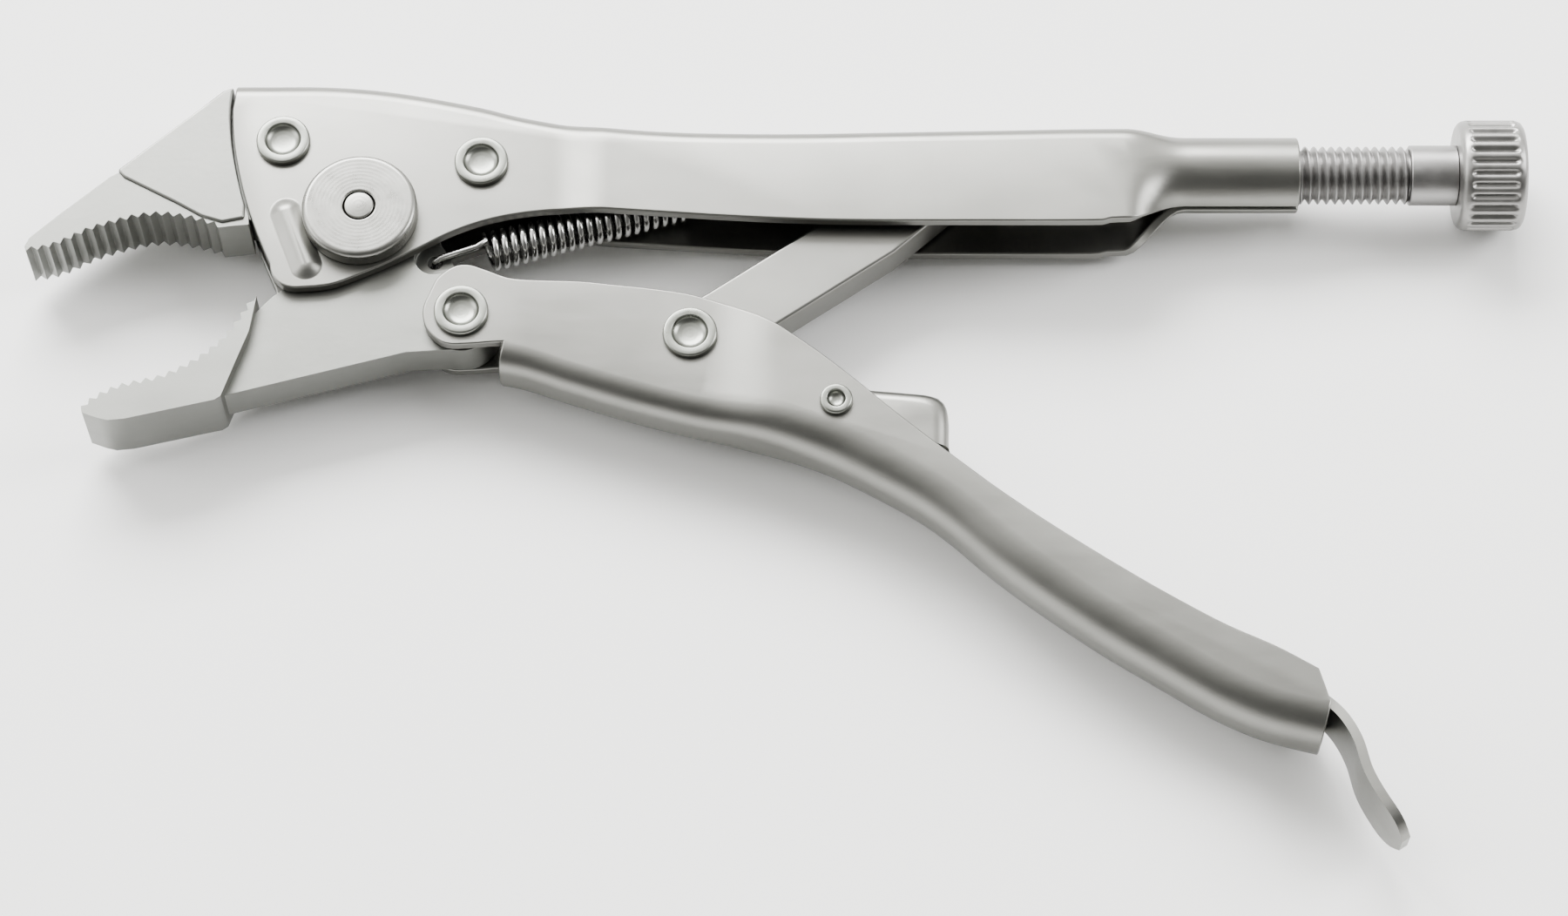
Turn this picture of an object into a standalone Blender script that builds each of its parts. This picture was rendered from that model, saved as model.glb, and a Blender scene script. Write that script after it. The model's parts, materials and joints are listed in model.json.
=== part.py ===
"""Ten inch locking pliers with curved jaws, lying on one side, built as separate sheet and turned pieces.

Frame: X runs from the jaw pivot to the adjusting knob, Y points to the upper handle, Z is the
thickness. The origin is on the jaw pivot axis at the back face of the pivot bolt. Sizes below are
in millimetres and are turned into metres once, where each mesh is made.
"""

import bpy
import bmesh
from math import atan2, cos, hypot, pi, radians, sin
from mathutils import Vector

MM = 0.001

# ---- sheet and clearances ----
SHEET = 2.0              # steel of both handles
SIDE_FIT = 0.3           # free space beside each flat piece between two plates
RUN_FIT = 0.09           # radial clearance of every rivet in its holes
HEAD_FIT = 0.15          # free space under a rivet head

# ---- overall widths across the tool ----
MID = 9.5                # height of the mid-plane above the resting plane
NOSE_HALF = 6.0          # half width of the head plates and of the front of the lower handle
GRIP_HALF = 7.2          # half width of both handles behind the head
FLAT_HALF = NOSE_HALF - SHEET - SIDE_FIT      # half thickness of jaw tails and of the link
TOOTH_HALF = 5.5         # half width of the upper jaw's toothed part

# ---- pivots, side view, from the jaw pivot ----
JAW_PIVOT = (0.0, 0.0)
HANDLE_PIVOT = (17.7, -18.6)
LINK_PIVOT = (56.3, -22.8)
LEVER_PIVOT = (80.8, -35.8)
LINK_NOSE = (104.1, 10.3)
FRONT_FIXING = (-13.8, 14.1)
REAR_FIXING = (20.3, 10.0)

# ---- jaw pivot bolt ----
BOLT_HEAD_R = 9.8
BOLT_SHANK_R = 4.0
BOLT_END_R = 2.55
BOLT_GAP = 0.2
BOLT_HEAD_H = MID - NOSE_HALF - BOLT_GAP      # the head reaches down to the resting plane

# ---- rivets ----
RIVET_HEAD_R = 4.6
RIVET_SHANK_R = 3.0
RIVET_DIMPLE_R = 3.0
RIVET_HEAD_H = 1.0
PIN_HEAD_R = 2.75
PIN_SHANK_R = 1.8

# ---- jaws ----
TOOTH_PITCH = 2.0
TOOTH_DEPTH = 0.9
JAW_EYE_R = 9.0
HEAD_TOP = 26.3

# ---- toggle link ----
LINK_HALF_W = 5.8
LINK_EYE_R = 6.4
LINK_NOSE_R = 3.2
LINK_TAPER_AT = 38.0

# ---- adjusting screw ----
SCREW_Y = 10.8
TUBE_R = 6.5
TUBE_WALL = 1.35         # the rolled tube is thinned by its inner thread
TUBE_START = 141.0
TUBE_END = 160.6
THREAD_R = TUBE_R - TUBE_WALL - 0.15
THREAD_PITCH = 1.5
THREAD_DEPTH = 0.85
THREAD_START = TUBE_START + 0.6
THREAD_END = 179.6
SCREW_POINT_R = 4.0
SCREW_GAP = 1.5          # free travel between the link's nose and the screw's point
NECK_R = 5.2
NECK_END = 188.0
KNOB_R = MID             # the knob touches the resting plane too
KNOB_LENGTH = 11.3
KNOB_RIBS = 40
KNOB_RIB_DEPTH = 0.5
KNOB_SPIGOT_R = 3.6

# ---- release lever ----
LEVER_SHEET = 1.6
LEVER_HALF = 4.9
LEVER_EAR_R = 4.4
PADDLE_HALF = 6.0

# ---- return spring ----
SPRING_R = 2.95          # to the middle of the wire
WIRE_R = 0.57
SPRING_PITCH = 1.65
SPRING_LENGTH = 35.0
SPRING_EYE = (12.6, -7.0)
SPRING_EYE_R = 3.3
SPRING_EYE_HALF = 1.5
TONGUE_X = 64.0
TONGUE_Y = 8.4
TONGUE_HALF = 2.4

STEPS = 32               # sides of a full round


# ---------------------------------------------------------------- helpers

def clear_scene():
    for thing in list(bpy.data.objects):
        bpy.data.objects.remove(thing, do_unlink=True)


def metal(name, colour, rough):
    mat = bpy.data.materials.new(name)
    mat.use_nodes = True
    shader = mat.node_tree.nodes["Principled BSDF"]
    shader.inputs["Base Color"].default_value = (*colour, 1.0)
    shader.inputs["Metallic"].default_value = 1.0
    shader.inputs["Roughness"].default_value = rough
    return mat


def spline(points, per=4):
    """Smooth curve through the points, with `per` steps between neighbours."""
    pts = [Vector(p) for p in points]
    pts = [2 * pts[0] - pts[1]] + pts + [2 * pts[-1] - pts[-2]]
    out = []
    for k in range(1, len(pts) - 2):
        a, b, c, d = pts[k - 1:k + 3]
        for i in range(per):
            t = i / per
            out.append(0.5 * (2 * b + (c - a) * t + (2 * a - 5 * b + 4 * c - d) * t * t
                              + (3 * b - a - 3 * c + d) * t ** 3))
    out.append(pts[-2])
    return [tuple(p) for p in out]


def arc(centre, radius, start, end, steps=12):
    """Points on an arc, angles in degrees."""
    out = []
    for i in range(steps + 1):
        a = radians(start + (end - start) * i / steps)
        out.append((centre[0] + radius * cos(a), centre[1] + radius * sin(a)))
    return out


def along(points, pitch):
    """The same curve stepped at equal lengths, with the unit normal on its left."""
    cuts = [0.0]
    for a, b in zip(points, points[1:]):
        cuts.append(cuts[-1] + hypot(b[0] - a[0], b[1] - a[1]))
    count = max(2, round(cuts[-1] / pitch))
    out = []
    k = 0
    for i in range(count + 1):
        s = cuts[-1] * i / count
        while k < len(points) - 2 and cuts[k + 1] < s:
            k += 1
        a, b = points[k], points[k + 1]
        t = (s - cuts[k]) / (cuts[k + 1] - cuts[k])
        dx, dy = b[0] - a[0], b[1] - a[1]
        size = hypot(dx, dy)
        out.append((a[0] + dx * t, a[1] + dy * t, -dy / size, dx / size))
    return out


def toothed(points, side):
    """Saw teeth along a curve, cut into the metal that lies on the given side."""
    out = []
    for i, (x, y, nx, ny) in enumerate(along(points, TOOTH_PITCH / 2)):
        cut = TOOTH_DEPTH * side * (i % 2)
        out.append((x + nx * cut, y + ny * cut))
    return out


def prism(outline, low, high):
    """Flat plate from a side outline, between two distances from the mid-plane."""
    bm = bmesh.new()
    bottom = [bm.verts.new((x, y, MID + low)) for x, y in outline]
    top = [bm.verts.new((x, y, MID + high)) for x, y in outline]
    bm.faces.new(bottom)
    bm.faces.new(top)
    for i in range(len(outline)):
        j = (i + 1) % len(outline)
        bm.faces.new((bottom[i], bottom[j], top[j], top[i]))
    return bm


def turned(profile, steps=STEPS):
    """Round piece about the Z axis from (radius, height) pairs, first and last radius zero."""
    bm = bmesh.new()
    rings = []
    for radius, height in profile:
        if radius == 0:
            rings.append([bm.verts.new((0, 0, height))])
            continue
        rings.append([bm.verts.new((radius * cos(2 * pi * i / steps), radius * sin(2 * pi * i / steps),
                                    height)) for i in range(steps)])
    for low, high in zip(rings, rings[1:]):
        for i in range(steps):
            j = (i + 1) % steps
            if len(low) == 1:
                bm.faces.new((low[0], high[j], high[i]))
            elif len(high) == 1:
                bm.faces.new((low[i], low[j], high[0]))
            else:
                bm.faces.new((low[i], low[j], high[j], high[i]))
    return bm


def moved(bm, spot, along_x=False):
    """Carries a turned piece to its axis; along_x lays it down along the tool."""
    for v in bm.verts:
        if along_x:
            v.co = Vector((v.co.z, v.co.x, v.co.y))
        v.co += Vector(spot)
    return bm


def put(name, bm, origin, mat=None):
    """Makes the object, in metres, with its origin at the given millimetre point."""
    at = Vector(origin)
    for v in bm.verts:
        v.co = (v.co - at) * MM
    bmesh.ops.recalc_face_normals(bm, faces=bm.faces)
    mesh = bpy.data.meshes.new(name)
    bm.to_mesh(mesh)
    bm.free()
    thing = bpy.data.objects.new(name, mesh)
    thing.location = at * MM
    bpy.context.scene.collection.objects.link(thing)
    if mat:
        mesh.materials.append(mat)
    return thing


def combine(thing, bm, operation):
    """Joins, cuts or trims a piece with a second solid."""
    tool = put("tool_solid", bm, (0, 0, 0))
    mod = thing.modifiers.new("shape", "BOOLEAN")
    mod.operation = operation
    mod.solver = "EXACT"
    mod.object = tool
    bpy.context.view_layer.update()
    done = bpy.data.meshes.new_from_object(thing.evaluated_get(bpy.context.evaluated_depsgraph_get()))
    thing.modifiers.remove(mod)
    thing.data = done
    bpy.data.objects.remove(tool, do_unlink=True)


def drill(thing, spot, radius, steps=STEPS):
    """Round hole across the tool."""
    reach = 2 * GRIP_HALF
    plug = turned([(0, -reach), (radius, -reach), (radius, reach), (0, reach)], steps)
    combine(thing, moved(plug, (*spot, MID)), "DIFFERENCE")


def finish(thing, angle=32):
    """Drops stray double points, then shades round faces smooth and keeps real edges sharp."""
    bm = bmesh.new()
    bm.from_mesh(thing.data)
    bmesh.ops.remove_doubles(bm, verts=bm.verts, dist=0.00001)
    bmesh.ops.dissolve_degenerate(bm, edges=bm.edges, dist=0.00001)
    bm.to_mesh(thing.data)
    bm.free()
    for face in thing.data.polygons:
        face.use_smooth = True
    thing.data.set_sharp_from_angle(angle=radians(angle))


# ---------------------------------------------------------------- folded sheet

def folded_section(half, bend, leg, curl, leg_steps):
    """Middle line of the sheet seen along the handle, as (across, away from the spine) pairs.

    curl 0 is a plain U with its legs straight, curl 1 is rolled into the screw tube.
    """
    wide = half - SHEET / 2
    turn = bend - SHEET / 2
    mean = TUBE_R - TUBE_WALL / 2
    square = [(wide - turn) * k / 2 for k in range(3)]
    path = [(z, SHEET / 2) for z in square]
    for k in range(1, 4):
        a = pi / 2 * k / 3
        path.append((wide - turn + turn * sin(a), SHEET / 2 + turn * (1 - cos(a))))
    for k in range(1, leg_steps + 1):
        path.append((wide, SHEET / 2 + turn + (leg - SHEET / 2 - turn) * k / leg_steps))
    run = [0.0]
    for a, b in zip(path, path[1:]):
        run.append(run[-1] + hypot(b[0] - a[0], b[1] - a[1]))
    last = pi * 0.975
    out = []
    for (z, d), s in zip(path, run):
        a = last * s / run[-1]
        out.append((z + (mean * sin(a) - z) * curl, d + (TUBE_R - mean * cos(a) - d) * curl))
    return [(-z, d) for z, d in reversed(out[1:])] + out


def folded_sheet(stations, leg_steps):
    """Sheet channel through stations of (spine point, leg direction, half, bend, leg, curl)."""
    bm = bmesh.new()
    rings = []
    for spot, way, half, bend, leg, curl in stations:
        path = folded_section(half, bend, leg, curl, leg_steps)
        skin = (SHEET + (TUBE_WALL - SHEET) * curl) / 2
        outer, inner = [], []
        for i, (z, d) in enumerate(path):
            a = path[max(i - 1, 0)]
            b = path[min(i + 1, len(path) - 1)]
            size = hypot(b[0] - a[0], b[1] - a[1])
            nz, nd = (b[1] - a[1]) / size, -(b[0] - a[0]) / size
            for row, off in ((outer, skin), (inner, -skin)):
                zz, dd = z + nz * off, d + nd * off
                row.append(bm.verts.new((spot[0] + way[0] * dd, spot[1] + way[1] * dd, MID + zz)))
        rings.append((outer, inner))
    for (oa, ia), (ob, ib) in zip(rings, rings[1:]):
        for i in range(len(oa) - 1):
            bm.faces.new((oa[i], oa[i + 1], ob[i + 1], ob[i]))
            bm.faces.new((ia[i + 1], ia[i], ib[i], ib[i + 1]))
        for k in (0, len(oa) - 1):
            bm.faces.new((oa[k], ob[k], ib[k], ia[k]))
    for outer, inner in (rings[0], rings[-1]):
        for i in range(len(outer) - 1):
            bm.faces.new((outer[i], outer[i + 1], inner[i + 1], inner[i]))
    return bm


# ---------------------------------------------------------------- upper handle and fixed jaw

def head_front_edge():
    """Front edge of the head plates, from the top down to the lower corner."""
    return spline([(-22.6, 25.2), (-22.9, 20.5), (-22.4, 14.5), (-21.2, 8.2), (-19.5, 1.9),
                   (-17.4, -3.9), (-15.1, -9.3)], 3)


def upper_handle(mat):
    top = [(-30, HEAD_TOP), (-18, HEAD_TOP), (-5.7, 26.2), (5.5, 25.0), (18.6, 22.4), (26, 20.4),
           (33, 18.9), (37.5, 18.1), (42, 17.5), (50, 16.8), (60, 16.4), (74, 16.3), (90, 16.6),
           (110, 17.0), (125, SCREW_Y + TUBE_R)]
    deep = 42.0
    stations = []
    for x, y in top:
        grow = min(max((x - 33) / 9, 0), 1)
        half = NOSE_HALF + (GRIP_HALF - NOSE_HALF) * grow
        leg = deep if x < 30 else y + 8
        stations.append(((x, y), (0, -1), half, 3.2, leg, 0))
    high = SCREW_Y + TUBE_R
    for k in range(7):
        t = k / 6
        ease = t * t * (3 - 2 * t)
        x = 131 + (TUBE_START - 131) * t
        stations.append(((x, high), (0, -1), GRIP_HALF, 3.2, high + 1.2, ease))
    stations.append(((TUBE_END, high), (0, -1), GRIP_HALF, 3.2, high + 1.2, 1))
    handle = put("upper_handle", folded_sheet(stations, 7), (0, 0, MID), mat)

    corner = arc((-10.6, -9.6), 4.4, 190, 275, 6)
    under = spline([(-7.3, -13.8), (-3.9, -13.2), (1.1, -11.1), (6.1, -8.7), (10.4, -6.3),
                    (15.6, -3.4), (21.5, -1.1), (27.9, 0.3), (35, 0.9), (43.7, 0.4), (52.2, -0.2),
                    (60.7, -0.8), (72, -1.4), (84, -1.75)], 3)
    edge = head_front_edge() + corner + under + [(126, -1.75), (140, -3), (170, -3), (170, 40), (-22.6, 40)]
    combine(handle, prism(edge, -12, 12), "INTERSECT")

    combine(handle, spring_tongue(), "UNION")
    eye = turned([(0, -3), (1.1, -3), (1.1, 3), (0, 3)], 16)
    combine(handle, moved(eye, (TONGUE_X, TONGUE_Y, MID), along_x=True), "DIFFERENCE")
    combine(handle, stop_rib(), "UNION")
    drill(handle, JAW_PIVOT, BOLT_SHANK_R + RUN_FIT)
    drill(handle, FRONT_FIXING, RIVET_SHANK_R + RUN_FIT)
    drill(handle, REAR_FIXING, RIVET_SHANK_R + RUN_FIT)
    finish(handle)
    return handle


def spring_tongue():
    """Tongue bent down from the spine, with the hole the spring hooks into."""
    half = 0.8
    outline = [(TONGUE_X - half, 15.4), (TONGUE_X - half, TONGUE_Y - 2.2), (TONGUE_X + half, TONGUE_Y - 2.2),
               (TONGUE_X + half, 15.4)]
    return prism(outline, -TONGUE_HALF, TONGUE_HALF)


def stop_rib():
    """Raised rib pressed out of the near head plate, in front of the pivot disc."""
    a, b, r = (-13.0, 0.7), (-8.5, -11.2), 1.8
    lean = atan2(b[1] - a[1], b[0] - a[0]) * 180 / pi
    outline = arc(b, r, lean - 90, lean + 90, 8) + arc(a, r, lean + 90, lean + 270, 8)
    return prism(outline, NOSE_HALF - SHEET / 2, NOSE_HALF + 0.9)


def fixed_jaw(mat):
    bite = [(-56.6, -6.9), (-53.4, -6.4), (-50.1, -5.1), (-46, -2.9), (-41, -1.2), (-37.6, -0.3),
            (-34.2, 0.0), (-30.8, -0.4), (-27.3, -1.2), (-24.3, -2.3)]
    plain = [(-22, -2.0), (-19.0, -1.7)]
    top = [(-22.9, 25.0), (-24.8, 24.2), (-28.5, 20.8), (-35.9, 14.2), (-43.2, 7.6), (-51.2, 0.5),
           (-56.2, -4.2), (-57.1, -5.4)]
    back = [(x - SIDE_FIT, y) for x, y in head_front_edge() if -1.0 < y < 24.6]
    lower = toothed(spline(bite, 4), 1)
    inside = [(x + 0.35, y - 0.45) for x, y in top[1:-1]]
    narrow = lower + plain + list(reversed(back)) + inside + [(-56.9, -5.8)]
    jaw = put("fixed_jaw", prism(narrow, -TOOTH_HALF, TOOTH_HALF), (0, 0, MID), mat)

    ridge = [(-55.6, -4.6), (-46.5, 4.0), (-41, 7.4), (-31.7, 2.4), (-27.3, -0.2), (-23.6, -1.4),
             (-19.8, -0.6)]
    proud = top[:-1] + ridge + [(x, y) for x, y in reversed(back) if y > 0.6]
    combine(jaw, prism(proud, -NOSE_HALF, NOSE_HALF), "UNION")

    roof = [(14, 20.5), (5.5, 22.2), (-5.7, 23.4), (-18, 23.5), (-26, 22.0)]
    eye = arc(JAW_PIVOT, JAW_EYE_R + 0.8, 172, 22, 12)
    tail = [(-24, 1.5), (-17.0, -0.6)] + eye + arc(REAR_FIXING, 6.0, -80, 75, 10) + roof
    combine(jaw, prism(tail, -FLAT_HALF, FLAT_HALF), "UNION")
    drill(jaw, FRONT_FIXING, RIVET_SHANK_R + RUN_FIT)
    drill(jaw, REAR_FIXING, RIVET_SHANK_R + RUN_FIT)
    finish(jaw)
    return jaw


# ---------------------------------------------------------------- lower jaw

def lower_jaw(mat):
    left = [(-12.0, -12.6), (-14.6, -14.6), (-18.5, -19), (-22, -26), (-28, -33.2)]
    under = [(-24.2, -33.9), (-18.1, -32.2), (-9.1, -29.7), (-4.7, -28.5), (8.4, -25.1)]
    lug = arc(HANDLE_PIVOT, 6.2, -105, 55, 12)
    neck = [(17.3, -10.6), (15.2, -6.0), (12.6, -2.2)]
    eye = arc(JAW_PIVOT, JAW_EYE_R, 5, 195, 18)
    plate = prism(under + lug + neck + eye + left, -FLAT_HALF, FLAT_HALF)
    jaw = put("lower_jaw", plate, (0, 0, MID), mat)

    cheek = prism(arc(SPRING_EYE, SPRING_EYE_R, 0, 330, 16), SPRING_EYE_HALF, FLAT_HALF + 1)
    combine(jaw, cheek, "DIFFERENCE")
    cheek = prism(arc(SPRING_EYE, SPRING_EYE_R, 0, 330, 16), -FLAT_HALF - 1, -SPRING_EYE_HALF)
    combine(jaw, cheek, "DIFFERENCE")

    bite = [(-45.2, -36.2), (-44.2, -34.9), (-40.1, -32.4), (-36.0, -31.2), (-32.4, -30.3),
            (-28.3, -28.2), (-24.9, -25.7), (-21.8, -22.5), (-19.6, -18.9), (-18.1, -16.1)]
    teeth = toothed(spline(bite, 4), -1)
    lower = [(-45.0, -37.4), (-42.3, -38.4), (-40.6, -38.8), (-37.7, -38.5), (-23.0, -35.0),
             (-22.0, -34.3)]
    step = [(-19.9, -28.0), (-17.9, -22.2), (-17.4, -18.9), (-16.9, -15.5)]
    head = list(reversed(teeth)) + lower + step
    combine(jaw, prism(head, -NOSE_HALF, NOSE_HALF), "UNION")
    drill(jaw, JAW_PIVOT, BOLT_SHANK_R + RUN_FIT)
    drill(jaw, HANDLE_PIVOT, RIVET_SHANK_R + RUN_FIT)
    drill(jaw, SPRING_EYE, 1.25, 16)
    finish(jaw)
    return jaw


# ---------------------------------------------------------------- lower handle

def lower_handle(mat):
    spine = spline([(4, -26.8), (24.0, -28.1), (35.4, -31.6), (44.4, -34.6), (55.6, -37.8),
                    (64.8, -39.9), (71.9, -42.0), (79.4, -45.1), (85.7, -48.4), (93.5, -53.0),
                    (99.5, -57.6), (105.5, -63.2), (112, -68.6), (123, -76.8), (132.5, -83.0),
                    (141, -88.4), (147, -91.5), (153, -93.7), (166, -97.0)], 2)
    stations = []
    for i, (x, y) in enumerate(spine):
        a = spine[max(i - 1, 0)]
        b = spine[min(i + 1, len(spine) - 1)]
        size = hypot(b[0] - a[0], b[1] - a[1])
        way = (-(b[1] - a[1]) / size, (b[0] - a[0]) / size)
        grow = min(max((x - 58.5) / 11, 0), 1)
        half = NOSE_HALF + (GRIP_HALF - NOSE_HALF) * grow
        leg = 27 - 10 * min(max((x - 40) / 60, 0), 1)
        stations.append(((x, y), way, half, 3.2, leg, 0))
    handle = put("lower_handle", folded_sheet(stations, 1), (*HANDLE_PIVOT, MID), mat)

    ear = arc(HANDLE_PIVOT, 6.5, 245, 150, 12)
    brow = spline([(13.4, -12.2), (15.8, -10.1), (18.4, -9.5), (21.8, -10.6), (25.7, -12.1),
                   (31, -12.5), (37.5, -12.7), (43.9, -13.4), (50.6, -14.2), (57.1, -15.4),
                   (64.1, -17.9), (70.2, -20.9), (76, -25.0), (80, -28.2), (86, -33.4),
                   (90.8, -37.8), (99.9, -45.5), (108.5, -52.5), (117.9, -59.4), (129.3, -67.1),
                   (137.6, -72.3), (144.4, -76.2), (152.1, -79.9), (158.2, -83.4)], 2)
    end = [(159.1, -84.6), (161.0, -95.0), (162.0, -104), (20, -104), (23.9, -26.0), (23.2, -25.0),
           (21.4, -24.5)]
    combine(handle, prism(ear + brow + end, -12, 12), "INTERSECT")
    drill(handle, HANDLE_PIVOT, RIVET_SHANK_R + RUN_FIT)
    drill(handle, LINK_PIVOT, RIVET_SHANK_R + RUN_FIT)
    drill(handle, LEVER_PIVOT, PIN_SHANK_R + RUN_FIT, 24)
    finish(handle)
    return handle


# ---------------------------------------------------------------- toggle link

def toggle_link(mat):
    span = hypot(LINK_NOSE[0] - LINK_PIVOT[0], LINK_NOSE[1] - LINK_PIVOT[1])
    lean = atan2(LINK_NOSE[1] - LINK_PIVOT[1], LINK_NOSE[0] - LINK_PIVOT[0])
    flat = [(LINK_TAPER_AT, -LINK_HALF_W)] + arc((span, 0), LINK_NOSE_R, -82, 82, 12)
    flat += [(LINK_TAPER_AT, LINK_HALF_W), (7, LINK_HALF_W)] + arc((0, 0), LINK_EYE_R, 70, 290, 18)
    flat += [(7, -LINK_HALF_W)]
    outline = []
    for u, v in flat:
        outline.append((LINK_PIVOT[0] + u * cos(lean) - v * sin(lean),
                        LINK_PIVOT[1] + u * sin(lean) + v * cos(lean)))
    link = put("toggle_link", prism(outline, -FLAT_HALF, FLAT_HALF), (*LINK_PIVOT, MID), mat)
    drill(link, LINK_PIVOT, RIVET_SHANK_R + RUN_FIT)
    finish(link)
    return link


# ---------------------------------------------------------------- release lever

def lever_strip():
    """Web and tail of the lever: one strip that rises over the bump and leaves by the handle's end."""
    path = spline([(75.4, -33.2), (77.6, -32.2), (81.5, -31.9), (86.0, -32.7), (92.4, -33.3),
                   (96.6, -33.8), (98.4, -35.0), (98.9, -38.0), (98.9, -43.0), (100.0, -48.2),
                   (103.6, -53.0), (110, -58.3), (118, -64.4), (130, -72.1), (138, -76.9),
                   (146, -80.9), (153, -84.1), (158.5, -87.3), (162.2, -90.8), (164.6, -95.4),
                   (166.0, -101.0), (168.4, -106.0), (171.9, -111.4)], 2)
    bm = bmesh.new()
    rows = []
    for i, (x, y) in enumerate(path):
        a = path[max(i - 1, 0)]
        b = path[min(i + 1, len(path) - 1)]
        size = hypot(b[0] - a[0], b[1] - a[1])
        nx, ny = -(b[1] - a[1]) / size, (b[0] - a[0]) / size
        half = LEVER_HALF
        if x > 160:
            half = LEVER_HALF + (PADDLE_HALF - LEVER_HALF) * min((x - 160) / 7, 1)
        left = len(path) - 1 - i
        if left < 5:
            half *= (0.42, 0.68, 0.86, 0.95, 0.99)[left]
        soft = 0.35
        t = LEVER_SHEET / 2
        ring = []
        for n, z in ((t, half - soft), (t - soft, half), (soft - t, half), (-t, half - soft),
                     (-t, soft - half), (soft - t, -half), (t - soft, -half), (t, soft - half)):
            ring.append(bm.verts.new((x + nx * n, y + ny * n, MID + z)))
        rows.append(ring)
    for ra, rb in zip(rows, rows[1:]):
        for i in range(8):
            j = (i + 1) % 8
            bm.faces.new((ra[i], ra[j], rb[j], rb[i]))
    bm.faces.new(rows[0])
    bm.faces.new(rows[-1])
    return bm


def lever_cheek(low, high):
    """One side plate of the lever, with the hole of its rivet."""
    outline = arc(LEVER_PIVOT, LEVER_EAR_R, 150, 300, 12)
    outline += [(90, -41.5), (97.6, -42.5), (98.4, -38), (97.6, -34.3), (92.4, -33.6), (86, -33.0),
                (81.5, -32.2), (77.8, -32.6)]
    return prism(outline, low, high)


def release_lever(mat):
    lever = put("release_lever", lever_strip(), (*LEVER_PIVOT, MID), mat)
    inner = LEVER_HALF - LEVER_SHEET
    outer = LEVER_HALF - 0.12
    combine(lever, lever_cheek(inner, outer), "UNION")
    combine(lever, lever_cheek(-outer, -inner), "UNION")
    drill(lever, LEVER_PIVOT, PIN_SHANK_R + RUN_FIT, 24)
    finish(lever)
    return lever


# ---------------------------------------------------------------- bolt, disc and rivets

def pivot_bolt(mat):
    top = BOLT_HEAD_H + 2 * (NOSE_HALF + BOLT_GAP)
    shape = [(0, 0), (BOLT_HEAD_R - 1.0, 0), (BOLT_HEAD_R, 0.7), (BOLT_HEAD_R, BOLT_HEAD_H),
             (BOLT_SHANK_R, BOLT_HEAD_H), (BOLT_SHANK_R, top - 0.1), (BOLT_END_R, top - 0.1),
             (BOLT_END_R, 2 * MID - 0.15), (BOLT_END_R - 0.2, 2 * MID), (0, 2 * MID)]
    bolt = put("pivot_bolt", moved(turned(shape, 40), (0, 0, 0)), (0, 0, 0), mat)
    finish(bolt)
    return bolt


def pivot_disc(mat):
    low = MID + NOSE_HALF + BOLT_GAP
    hole = BOLT_END_R + RUN_FIT
    shape = [(hole, low), (BOLT_HEAD_R, low), (BOLT_HEAD_R, 2 * MID - 0.7), (BOLT_HEAD_R - 1.0, 2 * MID),
             (hole, 2 * MID)]
    bm = turned(shape, 40)
    ends = [e for e in bm.edges if e.is_boundary]
    bmesh.ops.bridge_loops(bm, edges=ends)
    disc = put("front_pivot_disc", bm, (0, 0, low), mat)
    finish(disc)
    return disc


def rivet(name, spot, half_grip, mat, head=RIVET_HEAD_R, shank=RIVET_SHANK_R, dimple=RIVET_DIMPLE_R):
    """Headed both sides, each head with a shallow hollow in its middle."""
    seat = half_grip + HEAD_FIT
    face = seat + RIVET_HEAD_H
    half = [(0, -face + 0.55), (dimple * 0.6, -face + 0.42), (dimple, -face), (head - 0.4, -face),
            (head, -face + 0.4), (head, -seat), (shank, -seat)]
    shape = half + [(r, -h) for r, h in reversed(half)]
    piece = put(name, moved(turned(shape, 24), (*spot, MID)), (*spot, MID), mat)
    finish(piece)
    return piece


# ---------------------------------------------------------------- adjusting screw and knob

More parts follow.
